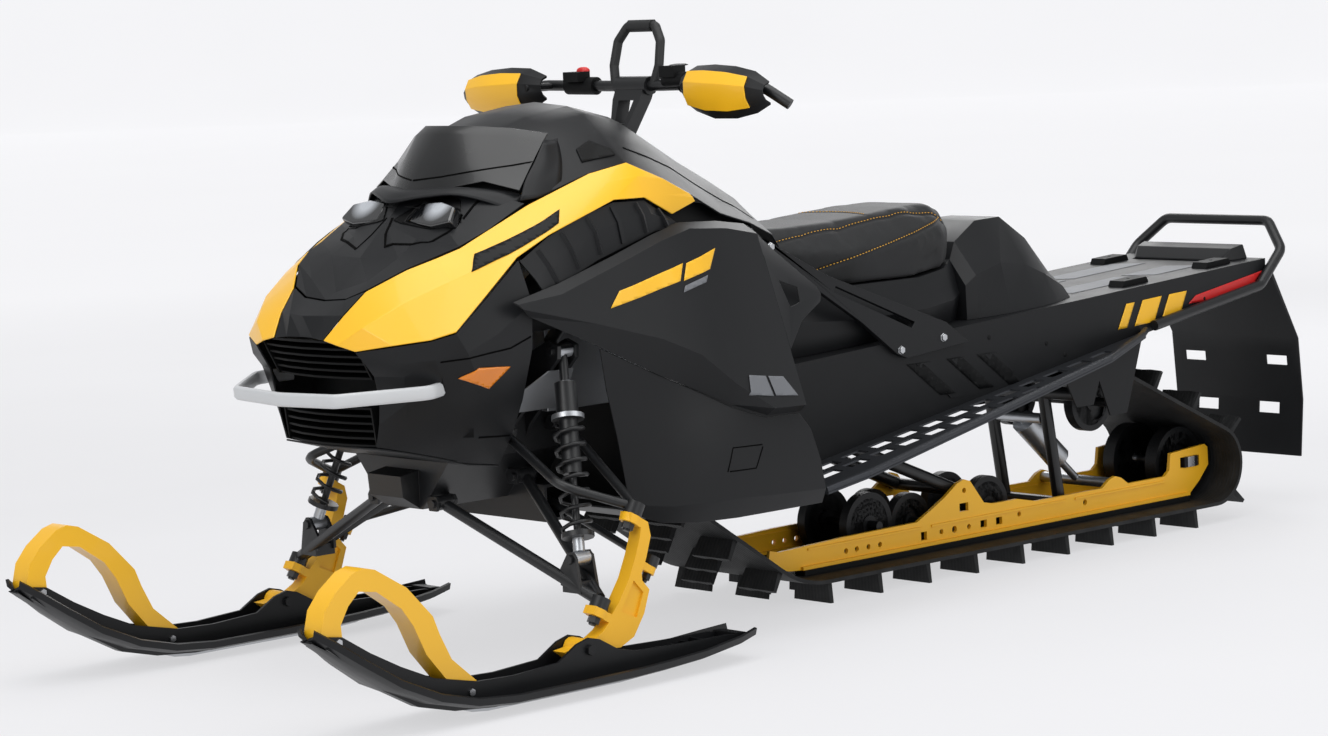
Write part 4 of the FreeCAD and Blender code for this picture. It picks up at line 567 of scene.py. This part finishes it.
# Lines between panels on the flanks: name, points, width, node
FLANK_LINES = [
    ("hatch_line_rear", [(513, 344), (496, 388), (420, 386)], 2.4, "lower_sides"),
    ("hatch_line_front", [(419, 382), (441, 343), (508, 344)], 2.4, "lower_sides"),
    ("console_line", [(560, 962), (430, 918), (300, 852), (180, 798)], 3.0, "console"),
    ("belly_line", [(980, 452), (905, 448)], 3.0, "nose_sides"),
    ("nose_line", [(1100, 606), (1040, 612), (960, 620), (902, 640)], 3.0, "nose_sides"),
]
# Ribs on the tunnel's sides, and printed blocks on its top between two x
SLAT_STARTS, SLAT_LENGTH, SLAT_LEAN, SLAT_TOP, SLAT_FOOT = (-200, -322, -416), 44, 100, 468, 394
TOP_BLOCKS = [(-800, -960, "right"), (-985, -1240, "right"), (-800, -1060, "left"), (-1085, -1240, "left")]
TOP_BLOCK_Y = {"right": (-118, -40), "left": (40, 118)}
TOP_BLOCK_LEAN = 30
# How far out, in m, the points start that drop onto a panel
DROP_FROM = 2.0


def surface_tree(node):
    """A tree of the surface that a node's finished copy shows."""
    mesh = bpy.data.objects[node + "_finished"].data
    mesh.calc_loop_triangles()
    verts = [v.co.copy() for v in mesh.vertices]
    return BVHTree.FromPolygons(verts, [list(t.vertices) for t in mesh.loop_triangles])


def filled(outline, spacing):
    """The outline's points and triangles once its edges are divided and its inside is filled at that
    spacing."""
    rim = []
    for (u0, w0), (u1, w1) in zip(outline, outline[1:] + outline[:1]):
        count = max(1, int(math.hypot(u1 - u0, w1 - w0) / spacing))
        rim += [(u0 + (u1 - u0) * k / count, w0 + (w1 - w0) * k / count) for k in range(count)]
    us, ws = (np.arange(min(parts), max(parts), spacing) for parts in zip(*outline))
    grid = [(u, w) for u in us for w in ws]
    edges = [(k, (k + 1) % len(rim)) for k in range(len(rim))]
    result = delaunay_2d_cdt([Vector(p) for p in rim + grid], edges, [list(range(len(rim)))], 1, 0.01)
    return result[0], result[2]


def laid_on(name, outline, node, finish, facing, proud=0.8, thick=0.4, spacing=6.0):
    """A thin shell on a node's surface: the outline is filled with points that drop along the facing axis,
    and lies that far proud, in mm."""
    axis = Vector(facing)
    tree = surface_tree(node)
    plane = [k for k in range(3) if abs(axis[k]) < 0.5]
    points, triangles = filled(outline, spacing)
    verts, lost = [], set()
    for k, p in enumerate(points):
        start = Vector((0, 0, 0))
        start[plane[0]], start[plane[1]] = p.x * MM, p.y * MM
        hit, normal, _, _ = tree.ray_cast(start + axis * DROP_FROM, -axis)
        if hit is None:
            lost.add(k)
            hit, normal = start, axis
        if normal.dot(axis) < 0:
            normal = -normal
        verts.append(hit + normal * proud * MM)
    mesh = bpy.data.meshes.new(name)
    mesh.from_pydata(verts, [], [t for t in triangles if not lost & set(t)])
    work = bmesh.new()
    work.from_mesh(mesh)
    bmesh.ops.delete(work, geom=[v for v in work.verts if not v.link_faces], context="VERTS")
    bmesh.ops.recalc_face_normals(work, faces=work.faces)
    if sum(f.normal.dot(axis) for f in work.faces) < 0:
        bmesh.ops.reverse_faces(work, faces=work.faces)
    for face in work.faces:
        face.smooth = True
    work.to_mesh(mesh)
    work.free()
    mesh = applied(mesh, ("SOLIDIFY", {"thickness": thick * MM, "offset": -1.0}))
    new_piece(name, mesh, "frame", finish)


def line_on(name, line, width, node, finish, facing):
    """A narrow strip along a line of points on a node's surface: each point goes half the width to both
    sides."""
    left, right = [], []
    for k, (u, w) in enumerate(line):
        u0, w0 = line[max(k - 1, 0)]
        u1, w1 = line[min(k + 1, len(line) - 1)]
        size = math.hypot(u1 - u0, w1 - w0)
        du, dw = -(w1 - w0) / size * width / 2, (u1 - u0) / size * width / 2
        left.append((u + du, w + dw))
        right.append((u - du, w - dw))
    laid_on(name, left + right[::-1], node, finish, facing, 0.7, 0.4, 5.0)


def lay_blocks(m):
    """Plain slanted bars and blocks where the machine carries its print, the reflectors, and the lines
    between panels, on both sides."""
    for name, outline, node, finish in BARS:
        proud, thick = REFLECTOR_LAY if finish == "amber" else PRINT_LAY
        for sign, side in SIDES:
            panel = node.replace("left", side)
            laid_on(name + "_" + side, outline, panel, m[finish], (0, sign, 0), proud, thick)
    for sign, side in SIDES:
        flank = (0, sign, 0)
        recess, eye = ([(x, sign * y) for x, y in outline] for outline in (LAMP_RECESS, EYE_LINE))
        visor = [(sign * y, z) for y, z in VISOR_LINE]
        # The pocket behind each lamp is a near-black shell on the hood: painted shade
        laid_on("lamp_recess_" + side, recess, "hood", m["recess"], UPWARDS, 1.8, 0.8, 3.0)
        line_on("eye_line_" + side, eye, 5.0, "hood", m["groove"], UPWARDS)
        line_on("visor_line_" + side, visor, 2.6, "windshield", m["groove"], FORWARDS)
        # Knee panels and tunnel ribs take the darker moulded finish, which is painted shade
        laid_on("knee_panel_" + side, KNEE_PANEL, "console", m["moulded_painted_shade"], flank, 2.4, 1.2, 5.0)
        for name, line, width, node in FLANK_LINES:
            line_on(name + "_" + side, line, width, node, m["groove"], flank)
        for number, start in enumerate(SLAT_STARTS):
            end = start - SLAT_LENGTH
            foot = [(end - SLAT_LEAN, SLAT_FOOT), (start - SLAT_LEAN, SLAT_FOOT)]
            slat = [(start, SLAT_TOP), (end, SLAT_TOP)] + foot
            name = "tunnel_slat_%d_%s" % (number, side)
            laid_on(name, slat, "tunnel", m["moulded_painted_shade"], flank, 1.6, 1.2, 12.0)
    for x0, x1, side in TOP_BLOCKS:
        y0, y1 = TOP_BLOCK_Y[side]
        outline = [(x0, y0), (x0 - TOP_BLOCK_LEAN, y1), (x1 - TOP_BLOCK_LEAN, y1), (x1, y0)]
        laid_on("tunnel_block_%d_%s" % (-x0, side), outline, "tunnel", m["print_grey"], UPWARDS)


# Seat, in metres unless a name says mm

# The cushion is drawn in towards its middle by these shares, and lies between its ends and over its base
SEAT_MIDDLE_MM = (-150, 0, 712)
SEAT_DRAWN_IN = (0.992, 0.982, 0.975)
SEAT_ENDS = (-0.452, 0.140)
SEAT_BASE_X = [-0.445, -0.4, -0.3, -0.1, 0.04, 0.135]
SEAT_BASE_Z = [0.665, 0.650, 0.640, 0.640, 0.662, 0.690]
SEAT_BASE_GAP = 0.001
# The pad's mesh cells, how hard and how long it is blown up, and how far its points may go
PAD_CELL, PAD_CELL_QUICK = 0.006, 0.009
PAD_PRESSURE, PAD_FRAMES, PAD_SWELL = 4.0, 20, 0.004
PAD_SMOOTH = ("SMOOTH", {"factor": 0.5, "iterations": 3})
# Seams start over the cushion or beside it, and are a bell-shaped groove of this width and depth
TOP_SEAM_MM = 800
SEAM_STEP, SEAM_WIDTH, SEAM_DEPTH = 0.004, 0.0035, 0.0028
# A stitch is rings at these shares of its half length, each with its radius
STITCH_EVERY, STITCH_HALF, STITCH_ASIDE, STITCH_PROUD = 0.0062, 0.0022, 0.0034, 0.0002
STITCH_RINGS = [(-1.0, 0.0004), (-0.6, 0.0009), (0.6, 0.0009), (1.0, 0.0004)]
STITCH_SIDES = 6


def swollen(mesh):
    """The pad's points after a pressure simulation, with none moved further than PAD_SWELL."""
    pad = bpy.data.objects.new("pad", mesh)
    bpy.context.scene.collection.objects.link(pad)
    before = np.array([v.co for v in mesh.vertices])
    cloth = pad.modifiers.new("cloth", "CLOTH")
    cloth.settings.use_pressure = True
    cloth.settings.uniform_pressure_force = PAD_PRESSURE
    cloth.settings.effector_weights.gravity = 0.0
    cloth.settings.quality = 4
    cloth.point_cache.frame_start, cloth.point_cache.frame_end = 1, PAD_FRAMES
    for number in range(1, PAD_FRAMES + 1):
        bpy.context.scene.frame_set(number)
    blown = bpy.data.meshes.new_from_object(pad.evaluated_get(bpy.context.evaluated_depsgraph_get()))
    after = np.array([v.co for v in blown.vertices])
    bpy.data.objects.remove(pad)
    bpy.context.scene.frame_set(1)
    way = after - before
    size = np.linalg.norm(way, axis=1)
    way *= (np.minimum(size, PAD_SWELL) / np.maximum(size, 1e-9))[:, None]
    return before + way


def seam_lines():
    """The cushion's sewn lines as rows of points (x, y, z) in mm: one along each side, one across, and a
    pair on top."""
    lines = []
    for side in (-1, 1):
        lines.append([(x, side * 160, 664 + (60 - x) * 0.19) for x in np.linspace(60, -425, 56)])
        lines.append([(x, side * (108 + (x + 424) * 0.02), TOP_SEAM_MM) for x in np.linspace(96, -424, 56)])
    lines.append([(-196 - 20 * math.cos(y / 60), y, TOP_SEAM_MM) for y in np.linspace(-100, 100, 26)])
    return lines


def landed(tree, line):
    """Where a seam's points meet the cushion and which way it faces there: from above, or inwards from the
    side."""
    from_above = line[0][2] == TOP_SEAM_MM
    hits = []
    for x, y, z in line:
        start = Vector((x, y, z)) * MM
        way = Vector((0, 0, -1)) if from_above else Vector((0, -math.copysign(1, y), 0))
        if not from_above:
            start.y = math.copysign(0.3, y)
        hit, normal, _, _ = tree.ray_cast(start, way)
        if hit is not None:
            hits.append((hit, normal))
    return hits


def divided(hits):
    """A seam's points and normals again, with no two further apart than twice SEAM_STEP."""
    fine = []
    for (a, na), (b, nb) in zip(hits, hits[1:]):
        count = max(1, int((b - a).length / SEAM_STEP))
        fine += [(a.lerp(b, k / count), na.lerp(nb, k / count).normalized()) for k in range(count)]
    return fine


def pull_in(mesh, seams):
    """Each point of the mesh sinks along its normal by a bell curve of its distance to the nearest seam."""
    points = np.array([v.co for v in mesh.vertices])
    sink = np.zeros(len(points))
    for seam in seams:
        for p, _ in seam:
            away = ((points - np.array(p)) ** 2).sum(axis=1)
            sink = np.maximum(sink, np.exp(-away / (2 * SEAM_WIDTH ** 2)))
    for v, share in zip(mesh.vertices, sink):
        if share > 0.02:
            v.co = v.co - v.normal * (share * SEAM_DEPTH)


def make_seat(m):
    """The cushion: the CAD solid drawn in, remeshed, swollen by pressure, kept over its base and pulled in
    along its seams."""
    mesh = node_mesh("seat_cushion")
    middle = Vector(SEAT_MIDDLE_MM) * MM
    for v in mesh.vertices:
        way = v.co - middle
        v.co = middle + Vector([part * share for part, share in zip(way, SEAT_DRAWN_IN)])
    cell = PAD_CELL
    mesh = applied(mesh, ("REMESH", {"mode": "VOXEL", "voxel_size": cell}), PAD_SMOOTH)
    after = swollen(mesh)
    base = np.interp(after[:, 0], SEAT_BASE_X, SEAT_BASE_Z) + SEAT_BASE_GAP
    after[:, 2] = np.maximum(after[:, 2], base)
    after[:, 0] = np.clip(after[:, 0], *SEAT_ENDS)
    for v, p in zip(mesh.vertices, after):
        v.co = p
    mesh = applied(mesh, PAD_SMOOTH, ("SUBSURF", {"levels": 1, "render_levels": 1}))
    for face in mesh.polygons:
        face.use_smooth = True
    verts = [v.co.copy() for v in mesh.vertices]
    tree = BVHTree.FromPolygons(verts, [list(p.vertices) for p in mesh.polygons])
    seams = [divided(landed(tree, line)) for line in seam_lines()]
    pull_in(mesh, seams)
    cushion = new_piece("seat_cushion_finished", mesh, "frame", m["cover"])
    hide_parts("seat_cushion")
    make_stitches(seams, m)


def make_stitches(seams, m):
    """Thread along each seam: six-sided dashes with tapered ends, laid beside the groove, the next one at
    the first point that is STITCH_EVERY or more further on."""
    verts, faces = [], []
    for seam in seams:
        run = 0.0
        for (a, na), (b, _) in zip(seam, seam[1:]):
            run += (b - a).length
            if run < STITCH_EVERY:
                continue
            run = 0.0
            along = (b - a).normalized()
            side = na.cross(along).normalized()
            centre = a + side * STITCH_ASIDE + na * STITCH_PROUD
            start = len(verts)
            for share, radius in STITCH_RINGS:
                for turn in range(STITCH_SIDES):
                    angle = 2 * math.pi * turn / STITCH_SIDES
                    aside, out = radius * math.cos(angle), radius * math.sin(angle)
                    verts.append(centre + along * (share * STITCH_HALF) + side * aside + na * out)
            for ring in range(len(STITCH_RINGS) - 1):
                for turn in range(STITCH_SIDES):
                    i, j = (start + ring * STITCH_SIDES + k % STITCH_SIDES for k in (turn, turn + 1))
                    faces.append((i, j, j + STITCH_SIDES, i + STITCH_SIDES))
            last = start + STITCH_SIDES * (len(STITCH_RINGS) - 1)
            faces += [tuple(start + k for k in reversed(range(STITCH_SIDES)))]
            faces += [tuple(last + k for k in range(STITCH_SIDES))]
    mesh = bpy.data.meshes.new("seat_stitches")
    mesh.from_pydata(verts, [], faces)
    work = bmesh.new()
    work.from_mesh(mesh)
    bmesh.ops.recalc_face_normals(work, faces=work.faces)
    work.to_mesh(mesh)
    work.free()
    new_piece("seat_stitches", mesh, "frame", m["thread"])


# Stage, in metres

STAGE_REACH, STAGE_BEND, STAGE_WIDTH, STAGE_TOP = 30.0, 3.0, 40.0, 12.0
# How strongly the paper glows at two distances from the machine: distance and strength
GLOW_NEAR, GLOW_FAR = (2.5, 0.70), (9.0, 0.92)

# Softboxes: name, place, what it points at, width and height, power in watts
SOFTBOXES = [
    ("top_softbox", (0.6, 0.8, 4.2), (0.0, 0.0, 0.3), (5.0, 4.0), 140),
    ("side_softbox", (-0.8, 5.0, 2.4), (-0.2, 0.0, 0.5), (4.5, 2.4), 62),
    ("front_softbox", (5.2, 1.2, 2.6), (0.6, 0.0, 0.5), (3.0, 2.2), 62),
    ("rear_softbox", (-4.5, -3.0, 3.0), (-0.4, 0.0, 0.5), (3.4, 2.2), 80),
]
SKY_COLOUR, SKY_STRENGTH = "E8E9EB", 0.55


def studio_paper():
    """White studio paper: matt, and lit a little from within, more so away from the machine, so that the
    floor and the backdrop run together."""
    s = Shade("studio_paper")
    base = clouded(s, 1600, linear("808082"), linear("848486"))
    away = s.add("VectorMath", {"operation": "LENGTH"}, Vector=s.place).outputs["Value"]
    glow = s.add("MapRange", Value=away, From_Min=GLOW_NEAR[0], From_Max=GLOW_FAR[0],
                 To_Min=GLOW_NEAR[1], To_Max=GLOW_FAR[1]).outputs["Result"]
    return s.finish(Base_Color=base, Roughness=0.9, Specular_IOR_Level=0.1, Emission_Color=linear("EDEDEF"),
                    Emission_Strength=glow)


def make_stage():
    """A pale floor that runs up into a pale backdrop behind the machine: z = 0 out to the bend, then a
    quarter circle and a wall, carried along a line across the view."""
    view = Vector((math.cos(CAMERA_YAW), math.sin(CAMERA_YAW), 0))
    side = Vector((-view.y, view.x, 0))
    bend = [(STAGE_REACH + STAGE_BEND * math.sin(a), STAGE_BEND - STAGE_BEND * math.cos(a))
            for a in np.linspace(0.1, math.pi / 2, 14)]
    profile = [(-STAGE_REACH, 0.0), (STAGE_REACH, 0.0)] + bend + [(STAGE_REACH + STAGE_BEND, STAGE_TOP)]
    verts = []
    for distance, z in profile:
        for aside in (-STAGE_WIDTH, STAGE_WIDTH):
            p = view * distance + side * aside
            verts.append((p.x, p.y, z))
    faces = [(2 * k, 2 * k + 1, 2 * k + 3, 2 * k + 2) for k in range(len(profile) - 1)]
    mesh = bpy.data.meshes.new("studio_floor")
    mesh.from_pydata(verts, [], faces)
    mesh.shade_smooth()
    mesh.materials.append(studio_paper())
    floor = bpy.data.objects.new("studio_floor", mesh)
    bpy.context.scene.collection.objects.link(floor)


def make_lights():
    """Four softboxes and a pale sky."""
    for name, place, target, size, watts in SOFTBOXES:
        data = bpy.data.lights.new(name, "AREA")
        data.shape = "RECTANGLE"
        data.size, data.size_y = size
        data.energy = watts
        lamp = bpy.data.objects.new(name, data)
        lamp.location = place
        lamp.rotation_euler = (Vector(target) - Vector(place)).to_track_quat("-Z", "Y").to_euler()
        bpy.context.scene.collection.objects.link(lamp)
    world = bpy.data.worlds.new("studio")
    world.use_nodes = True
    sky = world.node_tree.nodes["Background"].inputs
    sky["Color"].default_value = linear(SKY_COLOUR)
    sky["Strength"].default_value = SKY_STRENGTH
    bpy.context.scene.world = world
    bpy.context.scene.view_settings.view_transform = "Standard"


set_camera()
materials = make_materials()
dress_frame(materials)
add_small_forms(materials)
lay_blocks(materials)
make_seat(materials)
make_stage()
make_lights()
